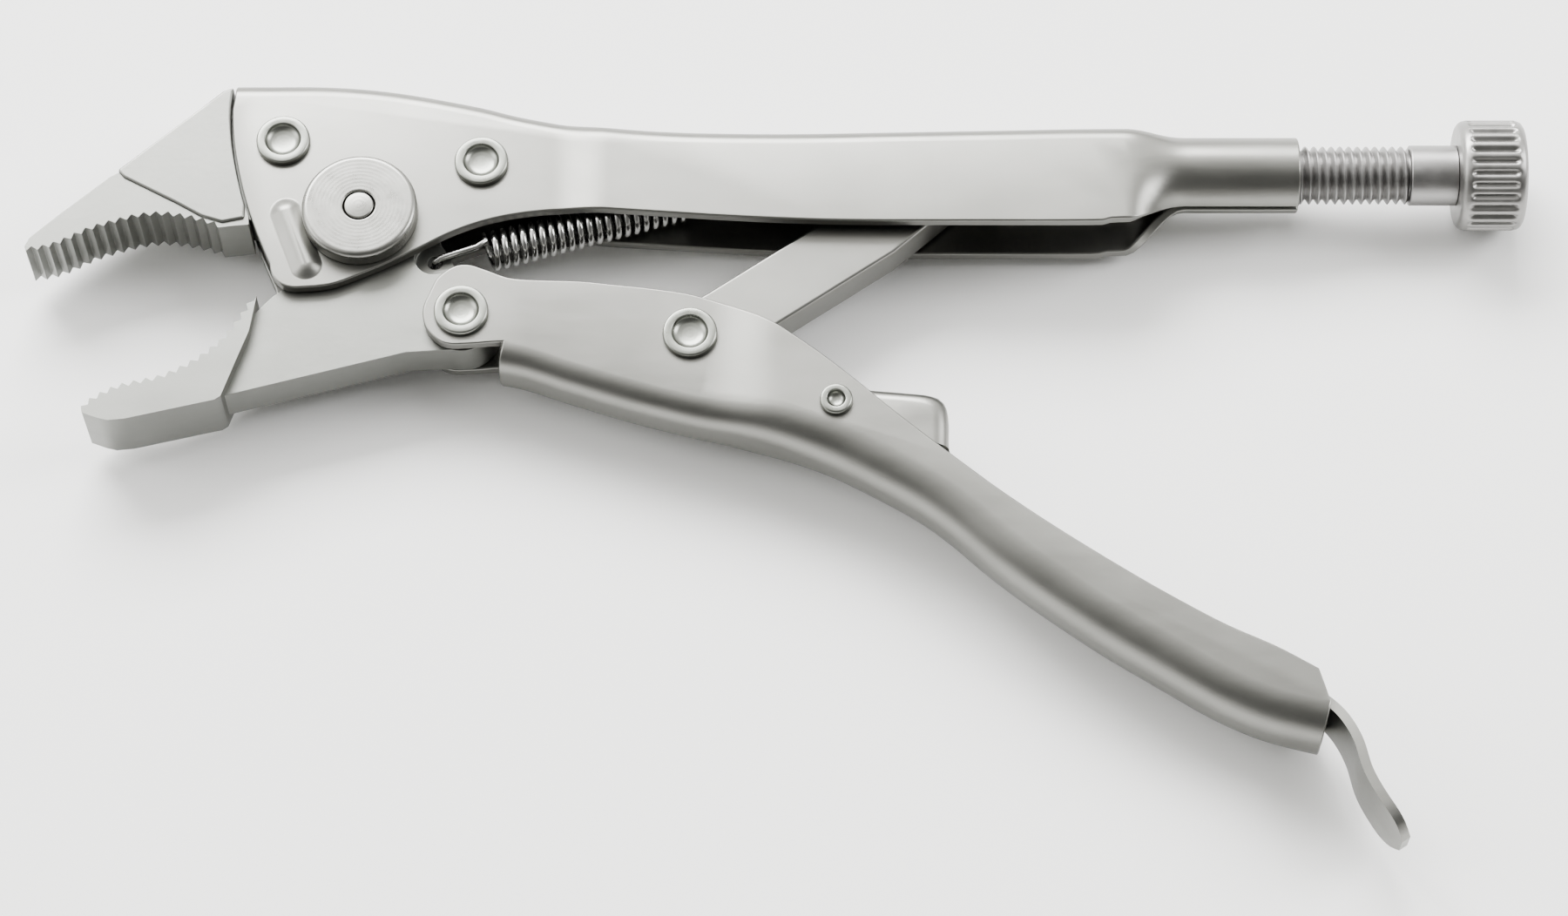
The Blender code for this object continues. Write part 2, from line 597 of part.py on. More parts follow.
def screw_body():
    """Point, threaded stretch and plain neck in one turned piece, laid along Z from its point."""
    steps = 16
    root = THREAD_R - THREAD_DEPTH
    start = LINK_NOSE[0] + LINK_NOSE_R + SCREW_GAP
    turns = int((THREAD_END - THREAD_START) / THREAD_PITCH) - 1
    bm = bmesh.new()

    def ring(radius, x):
        return [bm.verts.new((radius * cos(2 * pi * i / steps), radius * sin(2 * pi * i / steps), x))
                for i in range(steps)]

    def join(low, high):
        for i in range(steps):
            j = (i + 1) % steps
            bm.faces.new((low[i], low[j], high[j], high[i]))

    front = [ring(SCREW_POINT_R - 1.0, start), ring(SCREW_POINT_R, start + 1.0),
             ring(SCREW_POINT_R, THREAD_START - 1.2), ring(root - 0.4, THREAD_START - 0.5)]
    bm.faces.new(front[0])
    for a, b in zip(front, front[1:]):
        join(a, b)

    grid = {}
    rows = 2 * turns
    for j in range(rows + 1):
        for i in range(steps):
            radius = THREAD_R if j % 2 else root
            x = THREAD_START + THREAD_PITCH * (j / 2 + i / steps)
            a = 2 * pi * i / steps
            grid[j, i] = bm.verts.new((radius * cos(a), radius * sin(a), x))
    for j, radius in ((rows + 1, THREAD_R), (rows + 2, root)):
        grid[j, 0] = bm.verts.new((radius, 0, THREAD_START + THREAD_PITCH * j / 2))

    def at(j, i):
        return grid[j + 2, 0] if i == steps else grid[j, i]

    for j in range(rows):
        for i in range(steps):
            bm.faces.new((at(j, i), at(j, i + 1), at(j + 1, i + 1), at(j + 1, i)))
    low = front[-1]
    for i in range(steps):
        bm.faces.new((low[i], low[(i + 1) % steps], at(0, i + 1), at(0, i)))
    bm.faces.new((low[0], at(0, 0), grid[1, 0], grid[2, 0]))

    relief = ring(root - 0.4, THREAD_END - 0.1)
    for i in range(steps):
        bm.faces.new((at(rows, i), at(rows, i + 1), relief[(i + 1) % steps], relief[i]))
    bm.faces.new((relief[0], grid[rows + 2, 0], grid[rows + 1, 0], at(rows, 0)))

    rear = [relief, ring(NECK_R - 0.3, THREAD_END), ring(NECK_R, THREAD_END + 0.4), ring(NECK_R, NECK_END - 0.15),
            ring(KNOB_SPIGOT_R, NECK_END - 0.15), ring(KNOB_SPIGOT_R, NECK_END + 7.5)]
    for a, b in zip(rear, rear[1:]):
        join(a, b)
    bm.faces.new(rear[-1])
    return bm


def adjusting_screw(mat):
    bm = moved(screw_body(), (0, SCREW_Y, MID), along_x=True)
    screw = put("adjusting_screw", bm, (TUBE_END, SCREW_Y, MID), mat)
    finish(screw, 50)
    return screw


def adjusting_knob(mat):
    """Ribbed knob with a blind hole that takes the end of the screw."""
    steps = 2 * KNOB_RIBS
    bm = bmesh.new()

    def ring(radius, x, dip=0.0):
        out = []
        for i in range(steps):
            a = 2 * pi * i / steps
            r = radius - dip * (i % 2)
            out.append(bm.verts.new((r * cos(a), r * sin(a), x)))
        return out

    hole = KNOB_SPIGOT_R + RUN_FIT
    far = NECK_END + KNOB_LENGTH
    dip = KNOB_RIB_DEPTH
    rings = [ring(hole, NECK_END + 7.7), ring(hole, NECK_END), ring(KNOB_R - 1.0, NECK_END),
             ring(KNOB_R - 0.3, NECK_END + 0.7, dip * 0.6), ring(KNOB_R, NECK_END + 1.2, dip),
             ring(KNOB_R, far - 1.2, dip), ring(KNOB_R - 0.3, far - 0.7, dip * 0.6), ring(KNOB_R - 1.0, far)]
    bm.faces.new(rings[0])
    bm.faces.new(rings[-1])
    for a, b in zip(rings, rings[1:]):
        for i in range(steps):
            j = (i + 1) % steps
            bm.faces.new((a[i], a[j], b[j], b[i]))
    moved(bm, (0, SCREW_Y, MID), along_x=True)
    knob = put("adjusting_knob", bm, (NECK_END, SCREW_Y, MID), mat)
    finish(knob, 25)
    return knob


# ---------------------------------------------------------------- return spring

def return_spring(mat):
    """Close wound coil with a hook at each end, from the lower jaw to the upper handle's tongue."""
    begin = Vector((21.2, -4.2, MID))
    axis = (Vector((TONGUE_X, TONGUE_Y, MID)) - begin).normalized()
    side = Vector((0, 0, 1))
    up = side.cross(axis)
    turns = int(SPRING_LENGTH / SPRING_PITCH)
    per = 10
    path = [Vector((SPRING_EYE[0], SPRING_EYE[1], MID - 2.6)), Vector((SPRING_EYE[0], SPRING_EYE[1], MID + 1.6)),
            Vector((SPRING_EYE[0] + 0.6, SPRING_EYE[1] + 0.2, MID + 2.45)),
            Vector((SPRING_EYE[0] + 1.8, SPRING_EYE[1] + 0.6, MID + 2.75)),
            begin - axis * 1.6 + side * SPRING_R]
    for i in range(turns * per + 1):
        a = 2 * pi * i / per
        path.append(begin + axis * (SPRING_PITCH * i / per) + (side * cos(a) + up * sin(a)) * SPRING_R)
    tail = begin + axis * (SPRING_PITCH * turns)
    eye = Vector((TONGUE_X, TONGUE_Y, MID))
    path += [tail + axis * 0.9 + side * (SPRING_R * 0.8) + up * 0.9, tail + axis * 2.2 + side * 1.2,
             eye - Vector((2.6, 0.5, 0)), eye - Vector((1.4, 0, 0)), eye + Vector((1.5, 0, 0)),
             eye + Vector((2.3, -0.5, 0)), eye + Vector((2.6, -1.8, 0))]
    bm = bmesh.new()
    sides = 6
    rows = []
    frame = Vector((0, 1, 0))
    for i, p in enumerate(path):
        ahead = (path[min(i + 1, len(path) - 1)] - path[max(i - 1, 0)]).normalized()
        frame = (frame - ahead * frame.dot(ahead)).normalized()
        other = ahead.cross(frame)
        rows.append([bm.verts.new(p + (frame * cos(2 * pi * k / sides) + other * sin(2 * pi * k / sides))
                                  * WIRE_R) for k in range(sides)])
    for a, b in zip(rows, rows[1:]):
        for k in range(sides):
            m = (k + 1) % sides
            bm.faces.new((a[k], a[m], b[m], b[k]))
    bm.faces.new(rows[0])
    bm.faces.new(rows[-1])
    spring = put("return_spring", bm, (TONGUE_X, TONGUE_Y, MID), mat)
    finish(spring, 70)
    return spring


def build():
    clear_scene()
    upper_handle(metal("satin_nickel_sheet", (0.60, 0.60, 0.58), 0.38))
    fixed_jaw(metal("nickel_plated_forging", (0.56, 0.56, 0.54), 0.42))
    lower_jaw(metal("nickel_plated_lower_jaw", (0.56, 0.56, 0.54), 0.42))
    lower_handle(metal("satin_nickel_handle", (0.60, 0.60, 0.58), 0.38))
    toggle_link(metal("satin_steel_link", (0.57, 0.57, 0.55), 0.36))
    release_lever(metal("satin_steel_lever", (0.57, 0.57, 0.55), 0.36))
    pivot_bolt(metal("turned_bolt_steel", (0.62, 0.62, 0.60), 0.30))
    pivot_disc(metal("turned_disc_steel", (0.62, 0.62, 0.60), 0.30))
    rivet("front_jaw_rivet", FRONT_FIXING, NOSE_HALF, metal("front_rivet_steel", (0.62, 0.62, 0.60), 0.32))
    rivet("rear_jaw_rivet", REAR_FIXING, NOSE_HALF, metal("rear_rivet_steel", (0.62, 0.62, 0.60), 0.32))
    rivet("handle_rivet", HANDLE_PIVOT, NOSE_HALF, metal("handle_rivet_steel", (0.62, 0.62, 0.60), 0.32))
    rivet("link_rivet", LINK_PIVOT, NOSE_HALF, metal("link_rivet_steel", (0.62, 0.62, 0.60), 0.32))
    rivet("lever_rivet", LEVER_PIVOT, GRIP_HALF, metal("lever_rivet_steel", (0.62, 0.62, 0.60), 0.32),
          PIN_HEAD_R, PIN_SHANK_R, 1.5)
    adjusting_screw(metal("screw_steel", (0.58, 0.58, 0.57), 0.30))
    adjusting_knob(metal("knob_steel", (0.58, 0.58, 0.57), 0.33))
    return_spring(metal("bright_spring_wire", (0.70, 0.70, 0.69), 0.18))


build()
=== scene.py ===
import json
import bpy
import bmesh
from math import atan2, cos, pi, radians, sin
from mathutils import Matrix, Vector


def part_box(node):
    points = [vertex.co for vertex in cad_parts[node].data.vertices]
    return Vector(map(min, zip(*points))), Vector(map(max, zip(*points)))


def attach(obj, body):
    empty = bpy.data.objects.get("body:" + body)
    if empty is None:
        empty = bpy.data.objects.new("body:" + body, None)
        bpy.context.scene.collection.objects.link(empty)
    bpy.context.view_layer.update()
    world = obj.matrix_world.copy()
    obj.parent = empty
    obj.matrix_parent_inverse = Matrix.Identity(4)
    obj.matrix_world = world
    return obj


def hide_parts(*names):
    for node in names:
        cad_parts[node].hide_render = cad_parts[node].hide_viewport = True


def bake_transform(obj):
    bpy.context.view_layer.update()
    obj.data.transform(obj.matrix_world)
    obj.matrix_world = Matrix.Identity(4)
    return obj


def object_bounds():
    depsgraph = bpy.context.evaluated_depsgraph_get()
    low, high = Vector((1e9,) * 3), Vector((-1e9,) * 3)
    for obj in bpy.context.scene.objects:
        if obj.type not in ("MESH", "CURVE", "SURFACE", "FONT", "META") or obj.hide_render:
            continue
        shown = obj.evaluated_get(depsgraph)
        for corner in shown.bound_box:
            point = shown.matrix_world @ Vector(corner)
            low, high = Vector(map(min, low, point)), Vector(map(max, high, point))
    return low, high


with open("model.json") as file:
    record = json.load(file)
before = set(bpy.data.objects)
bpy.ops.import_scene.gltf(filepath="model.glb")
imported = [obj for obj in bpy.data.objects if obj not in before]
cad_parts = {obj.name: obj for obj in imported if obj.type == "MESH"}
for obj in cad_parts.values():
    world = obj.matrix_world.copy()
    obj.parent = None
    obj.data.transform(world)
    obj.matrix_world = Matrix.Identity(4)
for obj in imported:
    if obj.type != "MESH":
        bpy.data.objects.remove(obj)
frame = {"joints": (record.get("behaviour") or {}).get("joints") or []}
cad_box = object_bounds()

# Locking pliers lying on one side. Outlines are in millimetres from the jaw pivot, X towards the
# knob and Y towards the upper handle. Heights are measured from the tool's middle plane.

MM = 0.001
pivots = {j["name"]: [c / MM for c in j["pos_m"]] for j in frame["joints"] if "pos_m" in j}
MID = pivots["jaw_swing"][2]
HANDLE_PIVOT = pivots["handle_swing"][:2]
LINK_PIVOT = pivots["link_swing"][:2]
LEVER_PIVOT = pivots["lever_press"][:2]
NECK_END, SCREW_Y = pivots["knob_turn"][:2]


def middle(node):
    low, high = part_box(node)
    return ((low + high) / 2 / MM)[:2]


FRONT_FIXING = middle("front_jaw_rivet")
REAR_FIXING = middle("rear_jaw_rivet")
SCREW_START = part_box("adjusting_screw")[0].x / MM
TUBE_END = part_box("upper_handle")[1].x / MM
KNOB_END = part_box("adjusting_knob")[1].x / MM
FLOOR = cad_box[0][2]

SHEET = 2.0                 # thickness of both handles
NOSE_HALF = 6.0             # half width of the head plates and of the lower jaw
GRIP_HALF = 7.2             # half width of both grips
BEND = 3.2                  # outer radius of the upper handle's folds
FLAT_HALF = 3.7             # half thickness of the jaw arm, the jaw tail and the link
TOOTH_HALF = 5.5            # half width of the upper jaw's toothed bar
TOOTH_PITCH = 2.0
TOOTH_DEPTH = 0.9
EAR_R = 6.5                 # round end of the lower handle, about its rivet
HEAD_FIT = 0.15             # room under a rivet's head
TUBE_R = 6.5
TUBE_WALL = 1.35
TUBE_FROM = 131             # where the upper handle starts to roll round the screw
TUBE_RUN = 10               # how far along it the rolling takes
THREAD_R = 5.0
THREAD_DEPTH = 0.85
THREAD_PITCH = 1.5
THREAD_START = 141.6
THREAD_END = 179.6
NECK_R = 5.2
KNOB_R = MID
FLUTES = 28
LEVER_SHEET = 1.6
LEVER_HALF = 4.9
TONGUE = (64.0, 8.4)        # pressed from the upper handle, it holds the spring's far end
SPRING_EYE = (12.6, -7.0)   # hole in the lower jaw for the spring's near end
WIRE_R = 0.57
COIL_R = 2.95
COIL_PITCH = 1.65
COIL_TURNS = 21


# ------------------------------------------------------------------ lines

def ease(t):
    t = min(max(t, 0.0), 1.0)
    return t * t * (3 - 2 * t)


def mix(a, b, t):
    return a + (b - a) * t


def spline(points, per=6):
    """Smooth line through the points, with `per` steps between neighbours."""
    pts = [Vector(p) for p in points]
    pts = [2 * pts[0] - pts[1]] + pts + [2 * pts[-1] - pts[-2]]
    out = []
    for k in range(1, len(pts) - 2):
        a, b, c, d = pts[k - 1:k + 3]
        for i in range(per):
            t = i / per
            out.append(0.5 * (2 * b + (c - a) * t + (2 * a - 5 * b + 4 * c - d) * t * t
                              + (3 * b - a - 3 * c + d) * t ** 3))
    out.append(pts[-2])
    return out


def arc(centre, radius, start, end, steps=16):
    out = []
    for i in range(steps + 1):
        a = radians(mix(start, end, i / steps))
        out.append(Vector((centre[0] + radius * cos(a), centre[1] + radius * sin(a))))
    return out


def point_at(points, share):
    """Point at a share of the line's length."""
    cuts = [0.0]
    for a, b in zip(points, points[1:]):
        cuts.append(cuts[-1] + (b - a).length)
    want = min(max(share, 0.0), 1.0) * cuts[-1]
    for k in range(len(points) - 1):
        if cuts[k + 1] >= want:
            step = cuts[k + 1] - cuts[k]
            return points[k].lerp(points[k + 1], (want - cuts[k]) / step if step else 0.0)
    return points[-1].copy()


def height_at(points, x):
    """How high a line that runs along X is at a place."""
    for a, b in zip(points, points[1:]):
        if a.x <= x <= b.x:
            return mix(a.y, b.y, (x - a.x) / (b.x - a.x))
    return points[-1].y if x > points[-1].x else points[0].y


def reach_at(points, y):
    """How far along X a falling line is at a height."""
    for a, b in zip(points, points[1:]):
        if b.y <= y <= a.y:
            return mix(a.x, b.x, (a.y - y) / (a.y - b.y))
    return points[-1].x if y < points[-1].y else points[0].x


def length_of(points):
    return sum((b - a).length for a, b in zip(points, points[1:]))


def toothed(points, side):
    """Saw teeth along a line, cut into the metal on the given side."""
    count = round(length_of(points) / TOOTH_PITCH * 2)
    out = []
    for i in range(count + 1):
        here = point_at(points, i / count)
        run = point_at(points, (i + 0.4) / count) - point_at(points, (i - 0.4) / count)
        out.append(here + Vector((-run.y, run.x)).normalized() * TOOTH_DEPTH * side * (i % 2))
    return out


# ------------------------------------------------------------------ shapes

def join(*parts):
    """Several shells in one mesh."""
    whole = bmesh.new()
    for bm in parts:
        mesh = bpy.data.meshes.new("part")
        bm.to_mesh(mesh)
        bm.free()
        whole.from_mesh(mesh)
        bpy.data.meshes.remove(mesh)
    return whole


def break_edges(bm, edges, width, segments=3):
    bmesh.ops.bevel(bm, geom=edges, offset=width, offset_type="OFFSET", segments=segments, profile=0.5,
                    affect="EDGES", clamp_overlap=True, material=-1)


def plate(outline, low, high, rim=0.4, corner=0.0):
    """Flat piece from its outline; `rim` eases the edges of its faces, `corner` its teeth and corners."""
    bm = bmesh.new()
    face = bm.faces.new([bm.verts.new((p[0], p[1], MID + low)) for p in outline])
    grown = bmesh.ops.extrude_face_region(bm, geom=[face])
    raised = [v for v in grown["geom"] if isinstance(v, bmesh.types.BMVert)]
    bmesh.ops.translate(bm, verts=raised, vec=(0, 0, high - low))
    bmesh.ops.recalc_face_normals(bm, faces=bm.faces)
    if corner:
        sharp = [e for e in bm.edges if abs(e.verts[0].co.z - e.verts[1].co.z) > 1
                 and abs(e.calc_face_angle()) > 0.6]
        break_edges(bm, sharp, corner, 2)
    if rim:
        break_edges(bm, [e for e in bm.edges if e.calc_face_angle() > 1.3], rim)
    bmesh.ops.dissolve_degenerate(bm, dist=0.02, edges=bm.edges)
    return bm


def cut_away(bm, tool):
    """Takes the tool's shape out of the piece."""
    pair = []
    for part in (bm, tool):
        mesh = bpy.data.meshes.new("blank")
        part.to_mesh(mesh)
        part.free()
        thing = bpy.data.objects.new("blank", mesh)
        bpy.context.scene.collection.objects.link(thing)
        pair.append(thing)
    cut = pair[0].modifiers.new("cut", "BOOLEAN")
    cut.operation = "DIFFERENCE"
    cut.solver = "EXACT"
    cut.object = pair[1]
    bpy.context.view_layer.update()
    done = bpy.data.meshes.new_from_object(pair[0].evaluated_get(bpy.context.evaluated_depsgraph_get()))
    out = bmesh.new()
    out.from_mesh(done)
    for thing in pair:
        bpy.data.objects.remove(thing, do_unlink=True)
    bmesh.ops.remove_doubles(out, verts=out.verts, dist=0.01)
    bmesh.ops.dissolve_limit(out, angle_limit=radians(1), verts=out.verts, edges=out.edges)
    return out


def turned(profile, spot, along_x=False, steps=96):
    """Spins a side profile of (radius, height) points about its axis."""
    bm = bmesh.new()
    line = [bm.verts.new((r, 0, h)) for r, h in profile]
    edges = [bm.edges.new(pair) for pair in zip(line, line[1:])]
    bmesh.ops.spin(bm, geom=line + edges, cent=(0, 0, 0), axis=(0, 0, 1), angle=2 * pi, steps=steps,
                   use_merge=True)
    bmesh.ops.remove_doubles(bm, verts=bm.verts, dist=0.002)
    bmesh.ops.recalc_face_normals(bm, faces=bm.faces)
    if along_x:
        lay_along_x(bm)
    bmesh.ops.translate(bm, verts=bm.verts, vec=spot)
    return bm


def lay_along_x(bm):
    """Turns a piece made about the Z axis so that its axis runs along the tool."""
    for v in bm.verts:
        v.co = Vector((v.co.z, v.co.x, v.co.y))


def rounded(centre_r, centre_h, radius, start, end, steps=5):
    """Quarter round for a turned profile, as (radius, height) points."""
    return [tuple(p) for p in arc((centre_r, centre_h), radius, start, end, steps)]


def make(name, bm, body, material, node, rim=0.0, wall=0.0, smooth=38, thin=None):
    """Finishes one piece: metres, smooth faces, wall and eased rims, and its place on the tool."""
    bmesh.ops.scale(bm, vec=(MM, MM, MM), verts=bm.verts)
    mesh = bpy.data.meshes.new(name)
    bm.to_mesh(mesh)
    bm.free()
    for face in mesh.polygons:
        face.use_smooth = True
    mesh.set_sharp_from_angle(angle=radians(smooth))
    mesh.materials.append(material)
    piece = bpy.data.objects.new(name, mesh)
    bpy.context.scene.collection.objects.link(piece)
    if wall:
        solid = piece.modifiers.new("wall", "SOLIDIFY")
        solid.thickness = wall * MM
        solid.offset = -1
        if thin:
            group = piece.vertex_groups.new(name="wall")
            for v in mesh.vertices:
                group.add([v.index], thin(v.co / MM), "REPLACE")
            solid.vertex_group = "wall"
    if rim:
        bevel = piece.modifiers.new("rim", "BEVEL")
        bevel.width = rim * MM
        bevel.segments = 3
        bevel.limit_method = "ANGLE"
        bevel.angle_limit = radians(50)
        bevel.harden_normals = True
    else:
        even = piece.modifiers.new("flat_faces", "WEIGHTED_NORMAL")
        even.keep_sharp = True
        even.weight = 80
    if body:
        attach(piece, body)
    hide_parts(node)
    return piece


# ------------------------------------------------------------------ finishes

def linear(code):
    """Linear colour from an sRGB hex code."""
    parts = [int(code[i:i + 2], 16) / 255 for i in (1, 3, 5)]
    return tuple(c / 12.92 if c <= 0.04045 else ((c + 0.055) / 1.055) ** 2.4 for c in parts) + (1.0,)


def add(tree, kind, links=None, values=None, **settings):
    """Adds one node, with its own settings, its input values and its links."""
    node = tree.nodes.new(kind)
    for key, value in settings.items():
        setattr(node, key, value)
    for key, value in (values or {}).items():
        node.inputs[key].default_value = value
    for key, (source, socket) in (links or {}).items():
        tree.links.new(source.outputs[socket], node.inputs[key])
    return node


def new_metal(name, roughness):
    """Metal with a plain shader, and the coordinates that its patterns read."""
    mat = bpy.data.materials.new(name)
    mat.use_nodes = True
    tree = mat.node_tree
    shader = tree.nodes["Principled BSDF"]
    shader.inputs["Metallic"].default_value = 1.0
    shader.inputs["Roughness"].default_value = roughness
    place = add(tree, "ShaderNodeTexCoord")
    return mat, tree, shader, place


def uneven(tree, shader, cloudy, worn, light, dark, low, high):
    """Lets the cloudy pattern blend the metal's two tones, and the worn one its gloss."""
    tone = add(tree, "ShaderNodeMix", {"Factor": (cloudy, "Fac")}, data_type="RGBA")
    tone.inputs["A"].default_value = linear(dark)
    tone.inputs["B"].default_value = linear(light)
    tree.links.new(tone.outputs["Result"], shader.inputs["Base Color"])
    gloss = add(tree, "ShaderNodeMapRange", {"Value": (worn, "Fac")},
                {"From Min": 0.3, "From Max": 0.7, "To Min": low, "To Max": high})
    tree.links.new(gloss.outputs["Result"], shader.inputs["Roughness"])


def plated(name, light, dark, low, high, grain_mm, depth_mm):
    """Plated steel: clouds of tone, streaks of gloss, and a grain that breaks up reflections."""
    mat, tree, shader, place = new_metal(name, low)
    # Plating builds up unevenly over 10 to 20 mm.
    clouds = add(tree, "ShaderNodeTexNoise", {"Vector": (place, "Object")},
                 {"Scale": 1 / (14 * MM), "Detail": 4.0, "Roughness": 0.55})
    # Handling rubs the plate in streaks 5 mm wide and 20 mm long, along the tool.
    streaks = add(tree, "ShaderNodeMapping", {"Vector": (place, "Object")}, {"Scale": (0.25, 1.0, 1.0)})
    worn = add(tree, "ShaderNodeTexNoise", {"Vector": (streaks, "Vector")},
               {"Scale": 1 / (5 * MM), "Detail": 6.0, "Roughness": 0.65})
    uneven(tree, shader, clouds, worn, light, dark, low, high)
    # Blasting leaves pits of about 0.1 mm. They are drawn several times coarser, or none would show.
    grain = add(tree, "ShaderNodeTexNoise", {"Vector": (place, "Object")},
                {"Scale": 1 / (grain_mm * MM), "Detail": 3.0, "Roughness": 0.6})
    bump = add(tree, "ShaderNodeBump", {"Height": (grain, "Fac")},
               {"Strength": 0.6, "Distance": depth_mm * MM})
    tree.links.new(bump.outputs["Normal"], shader.inputs["Normal"])
    return mat


def turned_steel(name, light, dark, roughness, spot, along_x=False):
    """Turned steel: faint rings from the cutter's feed, round the piece's own axis."""
    mat, tree, shader, place = new_metal(name, roughness)
    centred = add(tree, "ShaderNodeMapping", {"Vector": (place, "Object")},
                  {"Location": tuple(-c * MM for c in spot)})
    # The cutter feeds about 0.1 mm a turn. The rings are drawn at about 0.7 mm, or none would show.
    rings_per_unit = 20 / (2 * pi)
    ring_mm = 0.6927
    feed = add(tree, "ShaderNodeTexWave", {"Vector": (centred, "Vector")},
               {"Scale": 1 / (rings_per_unit * ring_mm * MM), "Distortion": 0.6, "Detail": 2.0,
                "Detail Scale": 3.0},
               wave_type="RINGS", rings_direction="X" if along_x else "Z")
    marks = add(tree, "ShaderNodeBump", {"Height": (feed, "Fac")}, {"Strength": 0.12, "Distance": 0.03 * MM})
    tree.links.new(marks.outputs["Normal"], shader.inputs["Normal"])
    # Oil and finger marks dull it in spots of about 3 mm.
    clouds = add(tree, "ShaderNodeTexNoise", {"Vector": (place, "Object")},
                 {"Scale": 1 / (3 * MM), "Detail": 5.0, "Roughness": 0.6})
    uneven(tree, shader, clouds, clouds, light, dark, roughness - 0.04, roughness + 0.06)
    return mat


# ------------------------------------------------------------------ folded sheet

# Columns of faces from the middle of the sheet to one edge: flat web, bend, flat leg.
WEB_COLUMNS, BEND_COLUMNS, LEG_COLUMNS = 3, 6, 13
COLUMNS = WEB_COLUMNS + BEND_COLUMNS + LEG_COLUMNS


def blank(rows, gone=None):
    """Flat sheet blank: X runs from 0 to 1 along it, Y from -1 to 1 across it."""
    bm = bmesh.new()
    bmesh.ops.create_grid(bm, x_segments=rows, y_segments=2 * COLUMNS, size=0.5)
    bmesh.ops.scale(bm, vec=(1, 2, 1), verts=bm.verts)
    bmesh.ops.translate(bm, verts=bm.verts, vec=(0.5, 0, 0))
    if gone:
        waste = [f for f in bm.faces if gone(f.calc_center_median().x, abs(f.calc_center_median().y))]
        bmesh.ops.delete(bm, geom=waste, context="FACES")
    return bm


def zone(v):
    """Which stretch of a U section a point is in, and how far along that stretch."""
    column = abs(v) * COLUMNS
    slack = 0.0001
    if column <= WEB_COLUMNS + slack:
        return "web", column / WEB_COLUMNS
    if column <= WEB_COLUMNS + BEND_COLUMNS + slack:
        return "bend", (column - WEB_COLUMNS) / BEND_COLUMNS
    return "leg", (column - WEB_COLUMNS - BEND_COLUMNS) / LEG_COLUMNS


def press(bm, shape):
    """Moves every point of the blank to its place, then leaves each flat stretch as one face."""
    for v in bm.verts:
        v.co = shape(v.co.x, v.co.y)
    for corner in [v for v in bm.verts if len(v.link_faces) == 1]:
        inside = corner.link_loops[0].link_loop_next.link_loop_next.vert
        heights = [v.co.z for face in inside.link_faces for v in face.verts]
        if not inside.is_boundary and max(heights) - min(heights) < 0.0001:
            bmesh.ops.dissolve_verts(bm, verts=[inside])
    bm.normal_update()
    level = [e for e in bm.edges if e.is_manifold and all(abs(f.normal.z) > 0.99999 for f in e.link_faces)]
    known = set(level)
    inner = [v for v in bm.verts if all(e in known for e in v.link_edges)]
    bmesh.ops.dissolve_limit(bm, angle_limit=radians(0.2), verts=inner, edges=level)


# Front edge of the head plates, which the upper jaw's root follows.
HEAD_FRONT = [(-22.6, 25.2), (-22.9, 20.5), (-22.4, 14.5), (-21.2, 8.2), (-19.5, 1.9), (-17.4, -3.9),
              (-15.1, -9.3)]


